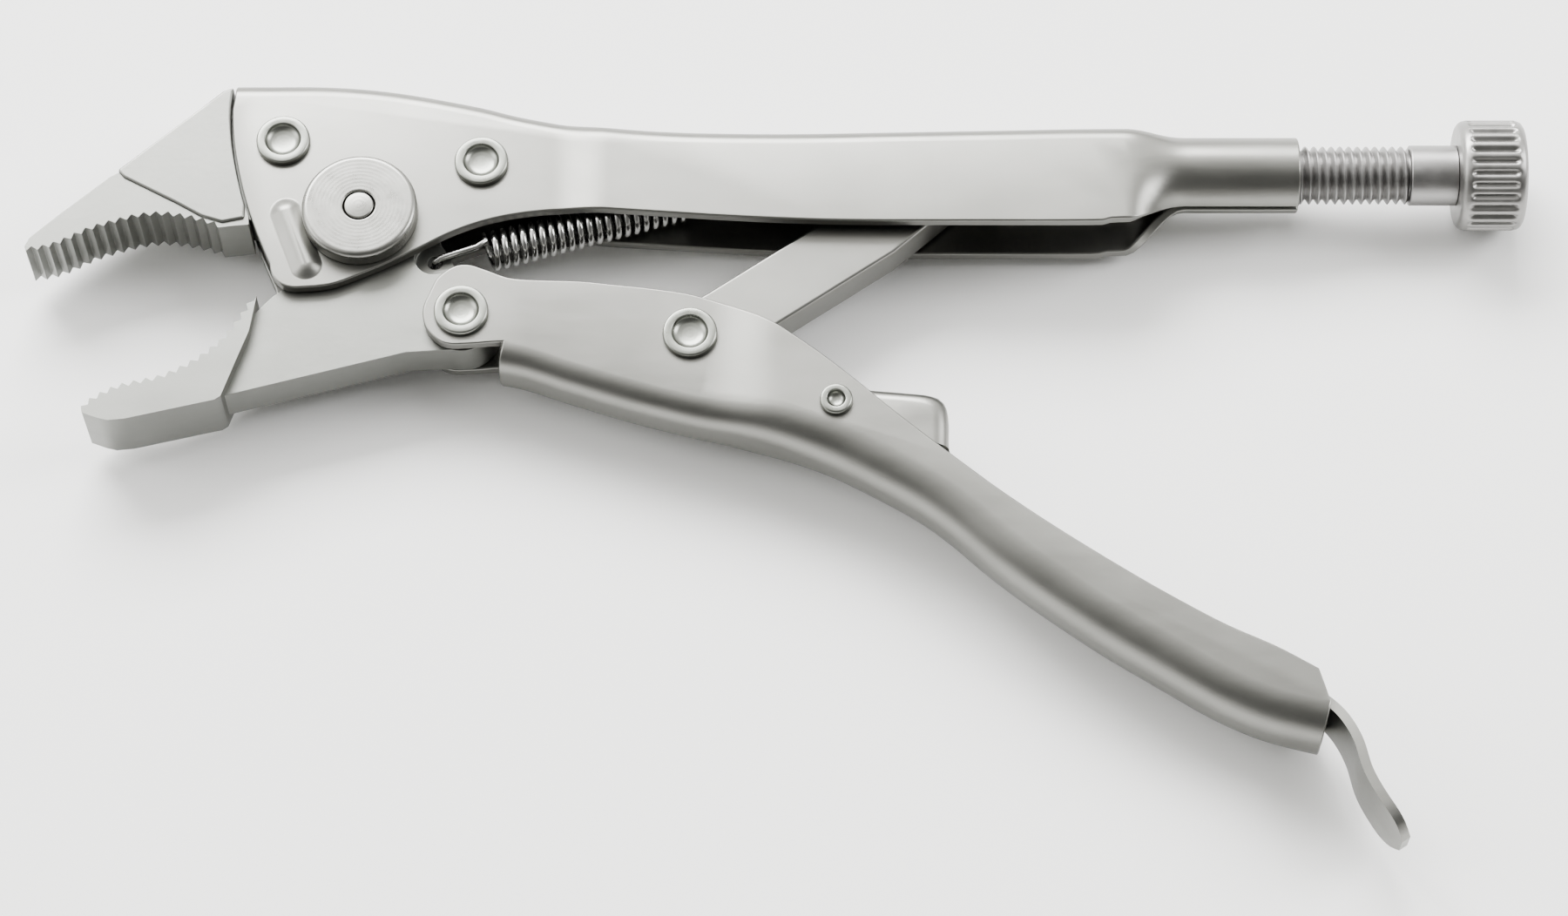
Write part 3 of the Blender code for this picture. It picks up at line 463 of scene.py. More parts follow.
def upper_handle(mat):
    """One folded sheet: head plates, grip, and the tube rolled round the screw."""
    tube_top = SCREW_Y + TUBE_R
    top = spline([(-30, 26.24), (-18, 26.24), (-5.7, 26.15), (5.5, 25.0), (18.6, 22.4), (26, 20.4),
                  (33, 18.9), (37.5, 18.1), (42, 17.5), (50, 16.8), (60, 16.4), (74, 16.3), (90, 16.6),
                  (110, 17.0), (125, tube_top), (145, tube_top), (165, tube_top)])
    front = spline(HEAD_FRONT)
    under = [front[-1]] + arc((-10.6, -9.6), 4.4, 190, 275, 12)
    under += spline([(-7.3, -13.8), (-3.9, -13.2), (1.1, -11.1), (6.1, -8.7), (10.4, -6.3),
                     (15.6, -3.4), (21.5, -1.1), (27.9, 0.3), (35, 0.9), (43.7, 0.4), (52.2, -0.2),
                     (60.7, -0.8), (72, -1.4), (84, -1.75), (105, -1.8), (126, -1.75), (131, -1.2),
                     (170, -1.2)])
    head_end = 30
    under_grip = under[14:]
    head_under = [p for p in under if p.x < head_end] + [Vector((head_end, height_at(under_grip, head_end)))]
    start = HEAD_FRONT[0][0]
    shoulder = height_at(top, start) - BEND
    seam_share = 0.975

    def shape(u, v):
        x = mix(start, TUBE_END, u)
        y = height_at(top, x)
        half = mix(NOSE_HALF, GRIP_HALF, ease((x - 33) / 9))
        side = -1 if v > 0 else 1
        low = Vector((x, height_at(under_grip, x)))
        if x < head_end:
            low = point_at(head_under, (x - start) / (head_end - start))
        where, t = zone(v)
        web, turn, leg = half - BEND, BEND * pi / 2, y - BEND - low.y
        px, depth, run = x, 0.0, web
        if where == "web":
            z, run = web * t, web * t
        elif where == "bend":
            z, depth, run = web + BEND * sin(t * pi / 2), BEND * (1 - cos(t * pi / 2)), web + turn * t
        else:
            z, depth, run = half, BEND + leg * t, web + turn + leg * t
            fade = max(0.0, 1 - (x - start) / head_end) ** 2
            level = max(y - depth, front[-1].y)
            straight = mix(start, front[-1].x, (shoulder - level) / (shoulder - front[-1].y))
            px = mix(x, low.x, t) + (reach_at(front, level) - straight) * fade
        curl = ease((x - TUBE_FROM) / TUBE_RUN)
        if curl:
            a = pi * seam_share * run / (web + turn + leg)
            z = mix(z, TUBE_R * sin(a), curl)
            depth = mix(depth, TUBE_R * (1 - cos(a)), curl)
        return Vector((px, y - depth, MID + side * z))

    bm = blank(150)
    press(bm, shape)

    def thin(co):
        return mix(1.0, TUBE_WALL / SHEET, ease((co.x - TUBE_FROM) / TUBE_RUN))

    make("upper_handle_sheet", bm, "frame", mat, "upper_handle", rim=0.35, wall=SHEET,
         smooth=70, thin=thin)
    make("upper_handle_pressings", join(pressed_rib(), spring_tongue()), "frame", mat,
         "upper_handle")


def pressed_rib():
    """Long bead with a bell section, pressed out of the near head plate."""
    reach, length, rise = 2.8, 10.8, 1.0
    top_end, lean = (-12.7, 0.4), atan2(-11.9, 4.5)
    rib = bmesh.new()
    bmesh.ops.create_uvsphere(rib, u_segments=48, v_segments=32, radius=reach)
    for v in rib.verts:
        v.co.z = rise * (v.co.z / reach) ** 3
    bmesh.ops.translate(rib, verts=[v for v in rib.verts if v.co.x > 0.001], vec=(length, 0, 0))
    bmesh.ops.rotate(rib, verts=rib.verts, cent=(0, 0, 0), matrix=Matrix.Rotation(lean, 3, "Z"))
    bmesh.ops.translate(rib, verts=rib.verts, vec=(*top_end, MID + NOSE_HALF))
    return rib


def spring_tongue():
    """Strip bent down from the web, for the spring's far hook."""
    front, back = TONGUE[0] - 0.8, TONGUE[0] + 0.8
    return plate([(front, 15.4), (front, 6.2), (back, 6.2), (back, 15.4)], -2.4, 2.4, 0.3)


def lower_handle(mat):
    """One folded sheet: ears and web at the front, then the grip's open channel."""
    spine = spline([(4, -26.8), (24.0, -28.1), (35.4, -31.6), (44.4, -34.6), (55.6, -37.8),
                    (64.8, -39.9), (71.9, -42.0), (79.4, -45.1), (85.7, -48.4), (93.5, -53.0),
                    (99.5, -57.6), (105.5, -63.2), (112, -68.6), (123, -76.8), (132.5, -83.0),
                    (141, -88.4), (147, -91.5), (153, -93.7), (166, -97.0)])
    spine = [p for p in spine if 24.0 <= p.x <= 161.2]
    brow = spline([(12.07, -15.35), (13.4, -12.2), (15.8, -10.1), (18.4, -9.5), (21.8, -10.6),
                   (25.7, -12.1), (31, -12.5), (37.5, -12.7), (43.9, -13.4), (50.6, -14.2),
                   (57.1, -15.4), (64.1, -17.9), (70.2, -20.9), (76, -25.0), (80, -28.2),
                   (86, -33.4), (90.8, -37.8), (99.9, -45.5), (108.5, -52.5), (117.9, -59.4),
                   (129.3, -67.1), (137.6, -72.3), (144.4, -76.2), (152.1, -79.9), (158.8, -83.8)])
    ear_end = 24.2
    ear_brow = [p for p in brow if p.x < ear_end]
    grip_brow = ear_brow[-1:] + [p for p in brow if p.x >= ear_end]

    step = 0.012

    def normal(share):
        """Direction square to the spine, into the channel."""
        share = min(max(share, step), 1 - step)
        run = point_at(spine, share + step) - point_at(spine, share - step)
        return Vector((-run.y, run.x)).normalized()

    def bend_at(x):
        return mix(4.0, 5.8, ease((x - 58) / 24))

    nose = arc(HANDLE_PIVOT, EAR_R, 215, 150, 16)
    seam = spine[0] + normal(0) * bend_at(spine[0].x)
    ear_foot = arc(HANDLE_PIVOT, EAR_R, 215, 245, 6)
    ear_foot += spline([(16.6, -24.75), (20.6, -24.5), (22.6, -24.3), tuple(seam)])
    rows = 112
    ear_share = 14 / rows

    def shape(u, v):
        side = 1 if v > 0 else -1
        where, t = zone(v)
        if u < ear_share + 0.000001:
            k = u / ear_share
            foot, brow_point = point_at(ear_foot, k), point_at(ear_brow, k)
            spot = foot.lerp(brow_point, t if where == "leg" else 0.0)
            if where == "leg":
                chord = nose[0].lerp(nose[-1], t)
                spot += (point_at(nose, t) - chord) * (1 - k) ** 2
            elif k > 0.999:
                depth = bend_at(spine[0].x) * (1 - cos(t * pi / 2)) if where == "bend" else 0.0
                spot = spine[0] + normal(0) * depth
            half, bend = NOSE_HALF, bend_at(spine[0].x)
        else:
            k = (u - ear_share) / (1 - ear_share)
            base, away = point_at(spine, k), normal(k)
            half, bend = mix(NOSE_HALF, GRIP_HALF, ease((base.x - 58.5) / 11)), bend_at(base.x)
            spot = base
            if where == "bend":
                spot = base + away * bend * (1 - cos(t * pi / 2))
            elif where == "leg":
                spot = (base + away * bend).lerp(point_at(grip_brow, k), t)
        z = half
        if where == "web":
            z = (half - bend) * t
        elif where == "bend":
            z = half - bend + bend * sin(t * pi / 2)
        return Vector((spot.x, spot.y, MID + side * z))

    bend_end = (WEB_COLUMNS + BEND_COLUMNS) / COLUMNS
    bm = blank(rows, lambda u, v: u < ear_share and v < bend_end)
    press(bm, shape)
    make("lower_handle_sheet", bm, "lower_handle", mat, "lower_handle", rim=0.35,
         wall=SHEET, smooth=70)


def release_lever(mat):
    """One bent strip: thumb bump with two cheeks, then the tail that leaves by the handle's end."""
    path = spline([(75.4, -33.2), (77.6, -32.2), (81.5, -31.9), (86.0, -32.7), (92.4, -33.3),
                   (96.6, -33.8), (98.4, -35.0), (98.9, -38.0), (98.9, -43.0), (100.0, -48.2),
                   (103.6, -53.0), (110, -58.3), (118, -64.4), (130, -72.1), (138, -76.9),
                   (146, -80.9), (153, -84.1), (158.5, -87.3), (162.2, -90.8), (164.6, -95.4),
                   (166.0, -101.0), (168.4, -106.0), (171.9, -111.4)])
    fold = spline([(75.8, -34.6), (78.2, -33.9), (81.5, -33.4), (86, -34.2), (92.4, -34.8),
                   (95.6, -35.4), (96.7, -36.5), (97.0, -38.5), (97.0, -42.4)])
    foot = arc(LEVER_PIVOT, 4.9, 185, 300, 16)
    foot += [Vector(p) for p in ((90, -41.5), (97.0, -42.5))]
    length = length_of(path)
    bump = sum((b - a).length for a, b in zip(path, path[1:]) if a.y > -42.3 and a.x < 99.5)
    rows = 150
    cheek_share = round(rows * bump / length) / rows
    fold_start, tail_round = 2.2, 6

    def shape(u, v):
        side = -1 if v > 0 else 1
        where, t = zone(v)
        here = point_at(path, u)
        run = point_at(path, u + 0.004) - point_at(path, u - 0.004)
        outer = here + Vector((-run.y, run.x)).normalized() * LEVER_SHEET / 2
        left = (1 - u) * length
        half = mix(LEVER_HALF, 6.0, ease((here.x - 159) / 9))
        if left < tail_round:
            half *= max(0.12, (1 - (1 - left / tail_round) ** 2.4)) ** 0.5
        fold_r = fold_start * (1 - ease((u - cheek_share) * length / 3))
        k = u / cheek_share
        spot, z = outer, half - fold_r
        if where == "web":
            z = (half - fold_r) * t
        elif where == "bend":
            spot = outer.lerp(point_at(fold, k), 1 - cos(t * pi / 2))
            z = half - fold_r + fold_r * sin(t * pi / 2)
        else:
            spot = point_at(fold, k).lerp(point_at(foot, k), t)
            z = half
        return Vector((spot.x, spot.y, MID + side * z))

    bm = blank(rows, lambda u, v: u > cheek_share and v > WEB_COLUMNS / COLUMNS)
    press(bm, shape)
    bmesh.ops.remove_doubles(bm, verts=bm.verts, dist=0.01)
    make("release_lever_strip", bm, "release_lever", mat, "release_lever", rim=0.3,
         wall=LEVER_SHEET, smooth=60)


# ------------------------------------------------------------------ jaws and link

def fixed_jaw(mat):
    """Forged nose: a toothed bar under a proud root, and the tail gripped between the head plates."""
    front = spline(HEAD_FRONT, 3)
    back = [Vector((p.x - 0.3, p.y)) for p in front if -1.0 < p.y < 24.6]
    bite = spline([(-56.6, -6.9), (-53.4, -6.4), (-50.1, -5.1), (-46, -2.9), (-41, -1.2), (-37.6, -0.3),
                   (-34.2, 0.0), (-30.8, -0.4), (-27.3, -1.2), (-24.3, -2.3)])
    ridge = [(-22.9, 25.0), (-24.8, 24.2), (-28.5, 20.8), (-35.9, 14.2), (-43.2, 7.6), (-51.2, 0.5),
             (-56.2, -4.2), (-57.1, -5.4)]
    inside = [(x + 0.35, y - 0.45) for x, y in ridge[1:4]] + [(-41.8, 8.4)] + ridge[4:-1]
    nose = toothed(bite, 1) + [(-22, -2.0), (-19.0, -1.7)] + back[::-1] + inside + [(-56.9, -5.8)]
    crease = [(-42.0, 8.7), (-40.8, 7.3), (-31.7, 2.4), (-27.3, -0.2), (-23.6, -1.4), (-19.8, -0.6)]
    root = ridge[:4] + crease + [p for p in back[::-1] if p.y > 0.6]
    eye = arc((0, 0), 9.8, 172, 22, 20)
    tail = [(-24, 1.5), (-17.0, -0.6)] + eye + arc(REAR_FIXING, 6.0, -80, 75, 12)
    tail += [(14, 20.5), (5.5, 22.2), (-5.7, 23.4), (-18, 23.5), (-26, 22.0)]
    bm = join(plate(nose, -TOOTH_HALF, TOOTH_HALF, 0.12, 0.14), plate(root, -NOSE_HALF, NOSE_HALF, 0.45),
              plate(tail, -FLAT_HALF, FLAT_HALF, 0.3))
    make("fixed_jaw_forging", bm, "frame", mat, "fixed_jaw", smooth=30)


def lower_jaw(mat):
    """Forged lower jaw: wide toothed head on a flat arm with the pivot eye and the handle lug."""
    left = [(-12.0, -12.6), (-14.6, -14.6), (-18.5, -19), (-22, -26), (-28, -33.2)]
    under = [(-24.2, -33.9), (-18.1, -32.2), (-9.1, -29.7), (-4.7, -28.5), (8.4, -25.1)]
    lug = arc(HANDLE_PIVOT, 6.2, -105, 55, 20)
    neck = [(17.3, -10.6), (15.2, -6.0), (12.6, -2.2)]
    eye = arc((0, 0), 9.0, 5, 195, 32)
    arm = plate(under + lug + neck + eye + left, -FLAT_HALF, FLAT_HALF, 0)
    recess = arc(SPRING_EYE, 3.3, 75, 285, 24) + [(17.6, -10.0), (19.5, -6.0), (16.0, -1.0)]
    for low, high in ((1.5, 5.0), (-5.0, -1.5)):
        arm = cut_away(arm, plate(recess, low, high, 0))
    arm = cut_away(arm, plate(arc(SPRING_EYE, 1.25, 0, 345, 20), -6, 6, 0))
    break_edges(arm, [e for e in arm.edges if e.is_manifold and abs(e.calc_face_angle()) > 1.2], 0.3)

    bite = spline([(-45.2, -36.2), (-44.2, -34.9), (-40.1, -32.4), (-36.0, -31.2), (-32.4, -30.3),
                   (-28.3, -28.2), (-24.9, -25.7), (-21.8, -22.5), (-19.6, -18.9), (-18.1, -16.1)])
    sole = [(-45.0, -37.4), (-42.3, -38.4), (-40.6, -38.8), (-37.7, -38.5), (-23.0, -35.0), (-22.0, -34.3)]
    step = [(-19.9, -28.0), (-17.9, -22.2), (-17.4, -18.9), (-16.9, -15.5)]
    core = toothed(bite, -1)[::-1] + sole + step
    bm = join(arm, plate(core, -NOSE_HALF, NOSE_HALF, 0.14, 0.14))
    make("lower_jaw_forging", bm, "lower_jaw", mat, "lower_jaw", smooth=30)


def toggle_link(mat):
    """Stamped bar with a round eye at the rivet and a round nose for the screw's point."""
    nose = Vector((104.1, 10.3))
    reach = nose - Vector(LINK_PIVOT)
    lean = atan2(reach.y, reach.x)
    flat = [(38.0, -5.8)] + arc((reach.length, 0), 3.2, -82, 82, 20) + [(38.0, 5.8), (7, 5.8)]
    flat += arc((0, 0), 6.4, 70, 290, 32) + [(7, -5.8)]
    outline = [(LINK_PIVOT[0] + p[0] * cos(lean) - p[1] * sin(lean),
                LINK_PIVOT[1] + p[0] * sin(lean) + p[1] * cos(lean)) for p in flat]
    bm = plate(outline, -FLAT_HALF, FLAT_HALF, 0.5)
    make("toggle_link_bar", bm, "toggle_link", mat, "toggle_link", smooth=30)


# ------------------------------------------------------------------ turned pieces

def rivet(name, spot, half, body, mat, head=4.6, shank=3.0, dimple=3.0):
    """Round head each side with a dished middle, upset over the outer plates."""
    seat = half + HEAD_FIT
    head_height = 1.0
    face = seat + head_height
    outer = rounded(head - 0.45, face - 0.45, 0.45, 90, 0)
    lip = rounded(dimple + 0.25, face - 0.25, 0.25, 180, 90, 4)
    dish = [(0, face - 1.15), (dimple * 0.35, face - 1.12), (dimple * 0.65, face - 1.0),
            (dimple * 0.88, face - 0.75)]
    top = dish + lip + outer + [(head, seat), (shank, seat)]
    profile = [(r, -h) for r, h in top] + [(r, h) for r, h in reversed(top)]
    bm = turned(profile, (*spot, MID), steps=72)
    make(name + "_turned", bm, body, mat, name, smooth=40)


def pivot_pieces(mat):
    """Large bolt from the far side, and the thick disc that its end is riveted into."""
    top = 2 * MID
    head = 9.8
    shank, end = 4.0, 2.5
    seat = MID - NOSE_HALF - 0.2
    low = top - seat
    profile = [(0, 0), (3.0, 0)] + rounded(head - 0.9, 0.9, 0.9, 270, 360, 6)
    profile += rounded(head - 0.3, seat - 0.3, 0.3, 0, 90, 3)
    profile += [(shank, seat), (shank, low - 0.1), (end, low - 0.1), (end, top - 0.45)]
    profile += rounded(end - 0.3, top - 0.3, 0.3, 0, 90, 4) + [(0, top - 0.02)]
    make("pivot_bolt_turned", turned(profile, (0, 0, 0)), "frame", mat, "pivot_bolt",
         smooth=40)

    ring = [(2.75, low)] + rounded(head - 0.25, low + 0.25, 0.25, 270, 360, 3)
    ring += rounded(head - 1.0, top - 1.0, 1.0, 0, 90, 8) + rounded(3.05, top - 0.3, 0.3, 90, 180, 4)
    bm = bmesh.new()
    line = [bm.verts.new((r, 0, h)) for r, h in ring]
    edges = [bm.edges.new(pair) for pair in zip(line, line[1:] + line[:1])]
    bmesh.ops.spin(bm, geom=line + edges, cent=(0, 0, 0), axis=(0, 0, 1), angle=2 * pi, steps=96,
                   use_merge=True)
    bmesh.ops.recalc_face_normals(bm, faces=bm.faces)
    make("front_pivot_disc_turned", bm, "frame", mat, "front_pivot_disc", smooth=40)


def adjusting_screw(mat):
    """Rolled thread with a plain point in front and a plain neck behind."""
    steps = 48
    root = THREAD_R - THREAD_DEPTH
    turns = int((THREAD_END - THREAD_START) / THREAD_PITCH) + 3
    begin = THREAD_START - THREAD_PITCH
    bm = bmesh.new()
    wave = [(root, 0.0), (root + 0.12, 0.16), (THREAD_R - 0.12, 0.56), (THREAD_R, 0.68), (THREAD_R, 0.82),
            (THREAD_R - 0.12, 0.94), (root + 0.12, 1.34), (root, THREAD_PITCH)]
    line = [bm.verts.new((r, 0, begin + h)) for r, h in wave]
    edges = [bm.edges.new(pair) for pair in zip(line, line[1:])]
    bmesh.ops.spin(bm, geom=line + edges, cent=(0, 0, 0), axis=(0, 0, 1), dvec=(0, 0, THREAD_PITCH / steps),
                   angle=2 * pi * turns, steps=steps * turns)
    bmesh.ops.remove_doubles(bm, verts=bm.verts, dist=0.01)
    for height, way in ((THREAD_START, -1), (THREAD_END, 1)):
        geom = list(bm.verts) + list(bm.edges) + list(bm.faces)
        bmesh.ops.bisect_plane(bm, geom=geom, dist=0.0001, plane_co=(0, 0, height), plane_no=(0, 0, way),
                               clear_outer=True)
        ring = [e for e in bm.edges if e.is_boundary and all(abs(v.co.z - height) < 0.01 for v in e.verts)]
        bmesh.ops.contextual_create(bm, geom=ring)
    bmesh.ops.recalc_face_normals(bm, faces=bm.faces)
    lay_along_x(bm)
    bmesh.ops.translate(bm, verts=bm.verts, vec=(0, SCREW_Y, MID))

    point = [(0, SCREW_START), (2.6, SCREW_START)] + rounded(3.0, SCREW_START + 1.0, 1.0, 290, 360, 5)
    point += [(4.0, THREAD_START - 0.9), (root - 0.2, THREAD_START - 0.2), (root - 0.2, THREAD_START + 0.6),
              (0, THREAD_START + 0.6)]
    neck = [(0, THREAD_END - 0.6), (root - 0.1, THREAD_END - 0.6), (root - 0.1, THREAD_END + 0.15)]
    neck += rounded(NECK_R - 0.3, THREAD_END + 0.5, 0.3, 270, 360, 4)
    neck += [(NECK_R, NECK_END - 0.15), (3.6, NECK_END - 0.15), (3.6, NECK_END + 7.5), (0, NECK_END + 7.5)]
    whole = join(bm, turned(point, (0, SCREW_Y, MID), True), turned(neck, (0, SCREW_Y, MID), True))
    make("adjusting_screw_turned", whole, "adjusting_screw", mat, "adjusting_screw",
         smooth=42)


def adjusting_knob(mat):
    """Fluted knob with plain rounded ends."""
    bore, bore_depth = 3.7, 7.7
    bm = bmesh.new()
    bmesh.ops.create_circle(bm, segments=FLUTES * 10, radius=bore)
    bmesh.ops.translate(bm, verts=bm.verts, vec=(0, 0, NECK_END))
    ring = [e for e in bm.edges]

    def grow(ring, radius, height, depth):
        """Draws the open edge out to a new ring, with flutes of the given depth."""
        out = bmesh.ops.extrude_edge_only(bm, edges=ring)["geom"]
        for v in (g for g in out if isinstance(g, bmesh.types.BMVert)):
            a = atan2(v.co.y, v.co.x)
            swell = 0.5 - 0.5 * cos(a * FLUTES)
            r = radius - depth * (1 - swell) ** 2.2
            v.co = Vector((r * cos(a), r * sin(a), height))
        return [g for g in out if isinstance(g, bmesh.types.BMEdge)]

    # Radius, height and flute depth, from the near end to the middle, then the same back to the far end.
    flute_depth = 0.62
    stations = [(KNOB_R - 1.4, 0.0, 0), (KNOB_R - 0.9, 0.1, 0), (KNOB_R - 0.45, 0.4, 0),
                (KNOB_R - 0.18, 0.85, 0), (KNOB_R - 0.08, 1.3, 0), (KNOB_R, 1.55, 0.1), (KNOB_R, 1.9, 0.45),
                (KNOB_R, 2.4, flute_depth)]
    far = KNOB_END - NECK_END
    stations += [(KNOB_R, far * 0.5, flute_depth)] + [(r, far - h, d) for r, h, d in reversed(stations)]
    for radius, height, depth in stations:
        ring = grow(ring, radius, NECK_END + height, depth)
    for radius in (4.0, 1.5):
        ring = grow(ring, radius, KNOB_END, 0)
    bmesh.ops.contextual_create(bm, geom=ring)
    mouth = [e for e in bm.edges if e.is_boundary]
    hole = bmesh.ops.extrude_edge_only(bm, edges=mouth)["geom"]
    deep = [g for g in hole if isinstance(g, bmesh.types.BMVert)]
    bmesh.ops.translate(bm, verts=deep, vec=(0, 0, bore_depth))
    bmesh.ops.contextual_create(bm, geom=[g for g in hole if isinstance(g, bmesh.types.BMEdge)])
    bmesh.ops.recalc_face_normals(bm, faces=bm.faces)
    lay_along_x(bm)
    bmesh.ops.translate(bm, verts=bm.verts, vec=(0, SCREW_Y, MID))
    make("adjusting_knob_turned", bm, "adjusting_knob", mat, "adjusting_knob", smooth=40)


def return_spring(mat):
    """Close wound wire coil with a hook at each end."""
    begin = Vector((21.2, -4.2, MID))
    tongue = Vector((*TONGUE, MID))
    axis = (tongue - begin).normalized()
    side = Vector((0, 0, 1))
    up = side.cross(axis)
    per = 28
    eye = Vector((*SPRING_EYE, MID))
    hook = spline([eye + Vector((0, 0, -2.6)), eye + Vector((0, 0, 1.6)), eye + Vector((0.6, 0.2, 2.45)),
                   eye + Vector((1.8, 0.6, 2.75)), begin - axis * 1.6 + side * COIL_R], 6)
    coil = []
    for i in range(COIL_TURNS * per + 1):
        a = 2 * pi * i / per
        coil.append(begin + axis * (COIL_PITCH * i / per) + (side * cos(a) + up * sin(a)) * COIL_R)
    tail = begin + axis * (COIL_PITCH * COIL_TURNS)
    end = [coil[-1] + axis * 0.4 + up * 0.4, tail + axis * 0.9 + side * (COIL_R * 0.8) + up * 0.9,
           tail + axis * 2.2 + side * 1.2]
    bent = ((-2.6, -0.5), (-1.4, 0), (1.5, 0), (2.3, -0.5), (2.6, -1.8))
    end += [tongue + Vector((x, y, 0)) for x, y in bent]
    route = hook + coil[1:] + spline(end, 5)
    wire = bpy.data.curves.new("wire", "CURVE")
    wire.dimensions = "3D"
    wire.bevel_depth = WIRE_R * MM
    wire.bevel_resolution = 3
    wire.use_fill_caps = True
    line = wire.splines.new("POLY")
    line.points.add(len(route) - 1)
    for point, spot in zip(line.points, route):
        point.co = (*(spot * MM), 1)
    carrier = bpy.data.objects.new("wire", wire)
    bpy.context.scene.collection.objects.link(carrier)
    bpy.context.view_layer.update()
    mesh = bpy.data.meshes.new_from_object(carrier.evaluated_get(bpy.context.evaluated_depsgraph_get()))
    bpy.data.objects.remove(carrier, do_unlink=True)
    bm = bmesh.new()
    bm.from_mesh(mesh)
    bmesh.ops.remove_doubles(bm, verts=bm.verts, dist=0.000005)
    bmesh.ops.recalc_face_normals(bm, faces=bm.faces)
    bmesh.ops.scale(bm, vec=(1 / MM, 1 / MM, 1 / MM), verts=bm.verts)
    spring = make("return_spring_wire", bm, None, mat, "return_spring", smooth=60)
    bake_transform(spring)


# ------------------------------------------------------------------ the tool

# Nickel plate over blasted sheet steel: a soft, warm grey sheen that spreads along the long folds.
sheet_finish = plated("blasted_nickel_plate", "#858581", "#787874", 0.31, 0.39, 0.7, 0.010)
# The same plate over a drop forging: duller and coarser grained than the sheet beside it.
jaw_finish = plated("nickel_plated_forging", "#848581", "#777874", 0.33, 0.42, 0.9, 0.018)
# Small stampings are tumbled before plating: the smoothest and lightest of the three.
link_finish = plated("tumbled_nickel_stamping", "#888884", "#7B7B77", 0.30, 0.38, 0.7, 0.010)

upper_handle(sheet_finish)
lower_handle(sheet_finish)
release_lever(link_finish)
fixed_jaw(jaw_finish)
lower_jaw(jaw_finish)
toggle_link(link_finish)
# Plated turned steel: a clean face with faint rings, a little brighter than the sheet round it.
pivot_pieces(turned_steel("turned_pivot_steel", "#8F8F8B", "#82827E", 0.29, (0, 0, 0)))
# Rivets are plated before they are set, and the upset heads keep a smooth, even sheen.
for name, spot, half, body in (("front_jaw_rivet", FRONT_FIXING, NOSE_HALF, "frame"),
                               ("rear_jaw_rivet", REAR_FIXING, NOSE_HALF, "frame"),
                               ("handle_rivet", HANDLE_PIVOT, NOSE_HALF, "lower_jaw"),
                               ("link_rivet", LINK_PIVOT, NOSE_HALF, "lower_handle")):
    rivet(name, spot, half, body, turned_steel(name + "_steel", "#8A8C87", "#7E8079", 0.30, (*spot, MID)))
rivet("lever_rivet", LEVER_PIVOT, GRIP_HALF, "lower_handle",
      turned_steel("lever_rivet_steel", "#8A8C87", "#7E8079", 0.30, (*LEVER_PIVOT, MID)), 2.75, 1.8, 1.5)
# Rolled thread: pressed smooth between dies and left oily, so its crests catch broad, soft lights.
screw_finish = turned_steel("rolled_thread_steel", "#9C9B9A", "#8C8B8A", 0.37, (0, SCREW_Y, MID), True)
adjusting_screw(screw_finish)
# Milled flutes on a turned knob: dull enough that each flute shades evenly into the next.
adjusting_knob(turned_steel("fluted_knob_steel", "#979694", "#888785", 0.36, (0, SCREW_Y, MID), True))
# Wire drawn through a polished die: the brightest metal here, with a small sharp light on each coil.
return_spring(turned_steel("drawn_spring_wire", "#C0C0BE", "#B0B0AE", 0.18, (0, 0, MID)))


# ------------------------------------------------------------------ floor, light and camera

floor_bm = bmesh.new()
bmesh.ops.create_grid(floor_bm, x_segments=1, y_segments=1, size=3.0)
bmesh.ops.translate(floor_bm, verts=floor_bm.verts, vec=(0.07, -0.04, FLOOR - 0.0001))
floor_mesh = bpy.data.meshes.new("floor")
floor_bm.to_mesh(floor_mesh)
floor_bm.free()
floor = bpy.data.objects.new("floor", floor_mesh)
bpy.context.scene.collection.objects.link(floor)
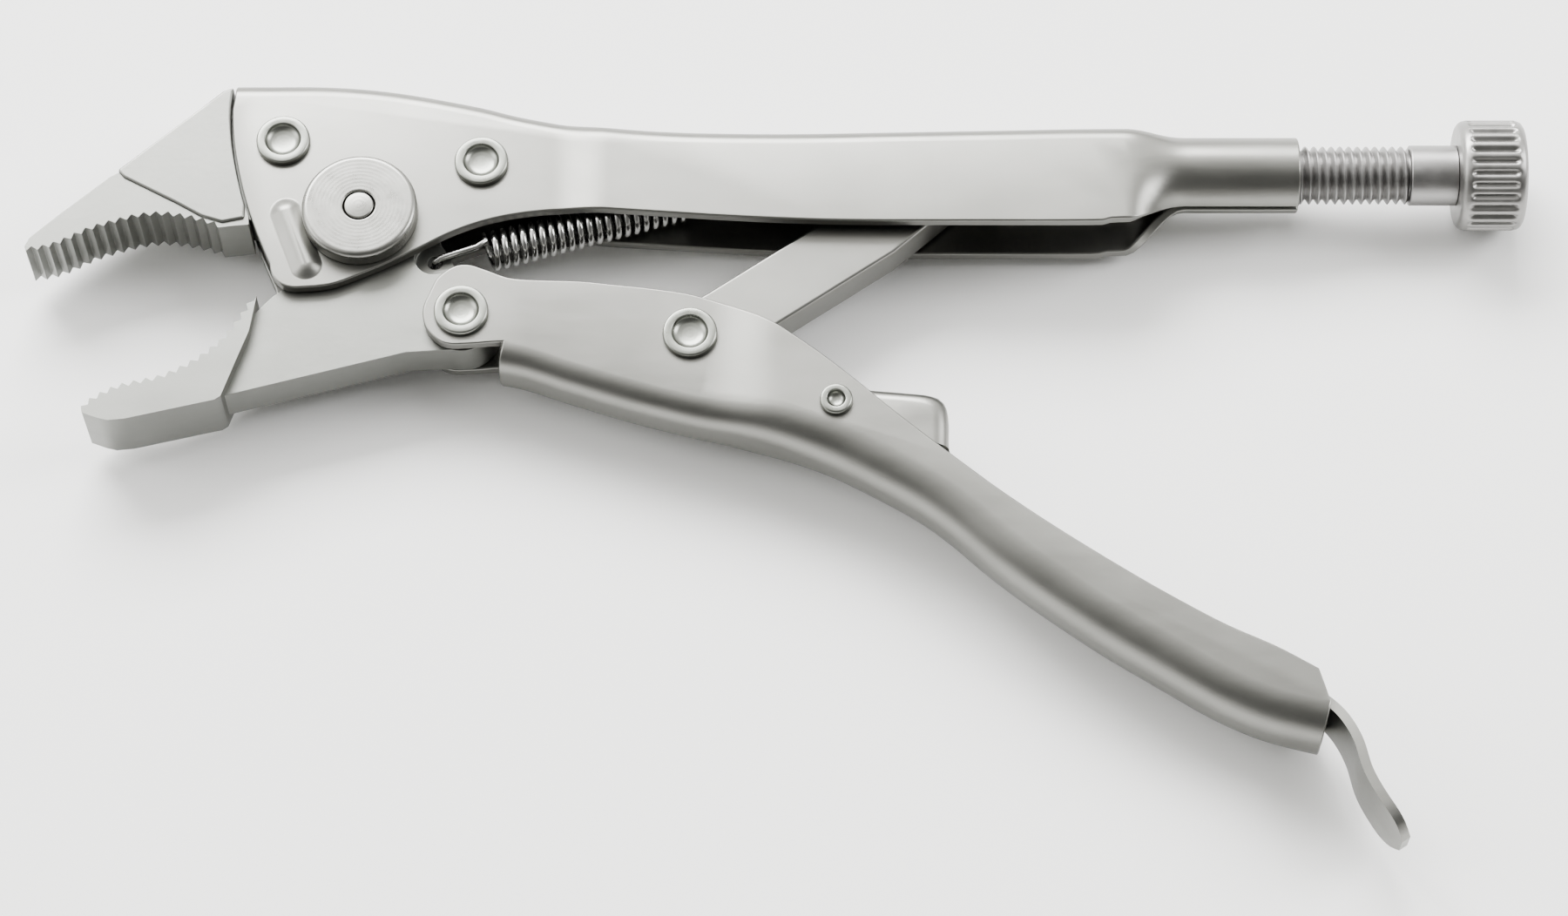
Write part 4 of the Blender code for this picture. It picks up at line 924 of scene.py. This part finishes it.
# Uncoated white paper: no shine, so it only takes the tool's soft shadow.
paper = bpy.data.materials.new("white_backing_paper")
paper.use_nodes = True
paper.node_tree.nodes["Principled BSDF"].inputs["Base Color"].default_value = linear("#F6F6F5")
paper.node_tree.nodes["Principled BSDF"].inputs["Roughness"].default_value = 0.9
floor_mesh.materials.append(paper)

world = bpy.data.worlds.new("studio_dome")
bpy.context.scene.world = world
world.use_nodes = True
sky = world.node_tree
dome = sky.nodes["Background"]
way = add(sky, "ShaderNodeTexCoord")
slope = add(sky, "ShaderNodeVectorMath", {0: (way, "Generated")}, operation="DOT_PRODUCT")
slope.inputs[1].default_value = (-0.45, 0.85, 0.0)
fall = add(sky, "ShaderNodeMapRange", {"Value": (slope, "Value")},
           {"From Min": -0.35, "From Max": 0.70, "To Min": 0.22, "To Max": 2.9},
           interpolation_type="SMOOTHSTEP")
level = add(sky, "ShaderNodeSeparateXYZ", {"Vector": (way, "Generated")})
sweep = add(sky, "ShaderNodeMapRange", {"Value": (level, "Z"), "To Max": (fall, "Result")},
            {"From Min": 0.10, "From Max": 0.34, "To Min": 1.2}, interpolation_type="SMOOTHSTEP")
dome.inputs["Color"].default_value = linear("#FFFEFA")
sky.links.new(sweep.outputs["Result"], dome.inputs["Strength"])


def softbox(name, spot, target, width, height, power):
    light = bpy.data.lights.new(name, "AREA")
    light.shape = "RECTANGLE"
    light.size = width
    light.size_y = height
    light.energy = power
    lamp = bpy.data.objects.new(name, light)
    lamp.location = spot
    lamp.rotation_euler = (Vector(target) - Vector(spot)).to_track_quat("-Z", "Y").to_euler()
    bpy.context.scene.collection.objects.link(lamp)


softbox("back_softbox", (-0.25, 0.95, 0.85), (0.07, -0.04, 0), 1.1, 0.6, 58)
softbox("left_softbox", (-1.15, 0.10, 0.80), (0.07, -0.04, 0), 0.6, 0.8, 7)
softbox("right_softbox", (1.25, 0.25, 0.85), (0.07, -0.04, 0), 0.6, 0.8, 22)

view = bpy.data.cameras.new("camera")
view.lens = 100
view.sensor_width = 36
camera = bpy.data.objects.new("camera", view)
camera.location = (0.07211, -0.35108, 0.67020)
camera.rotation_euler = (radians(25), 0, 0)
bpy.context.scene.collection.objects.link(camera)
bpy.context.scene.camera = camera
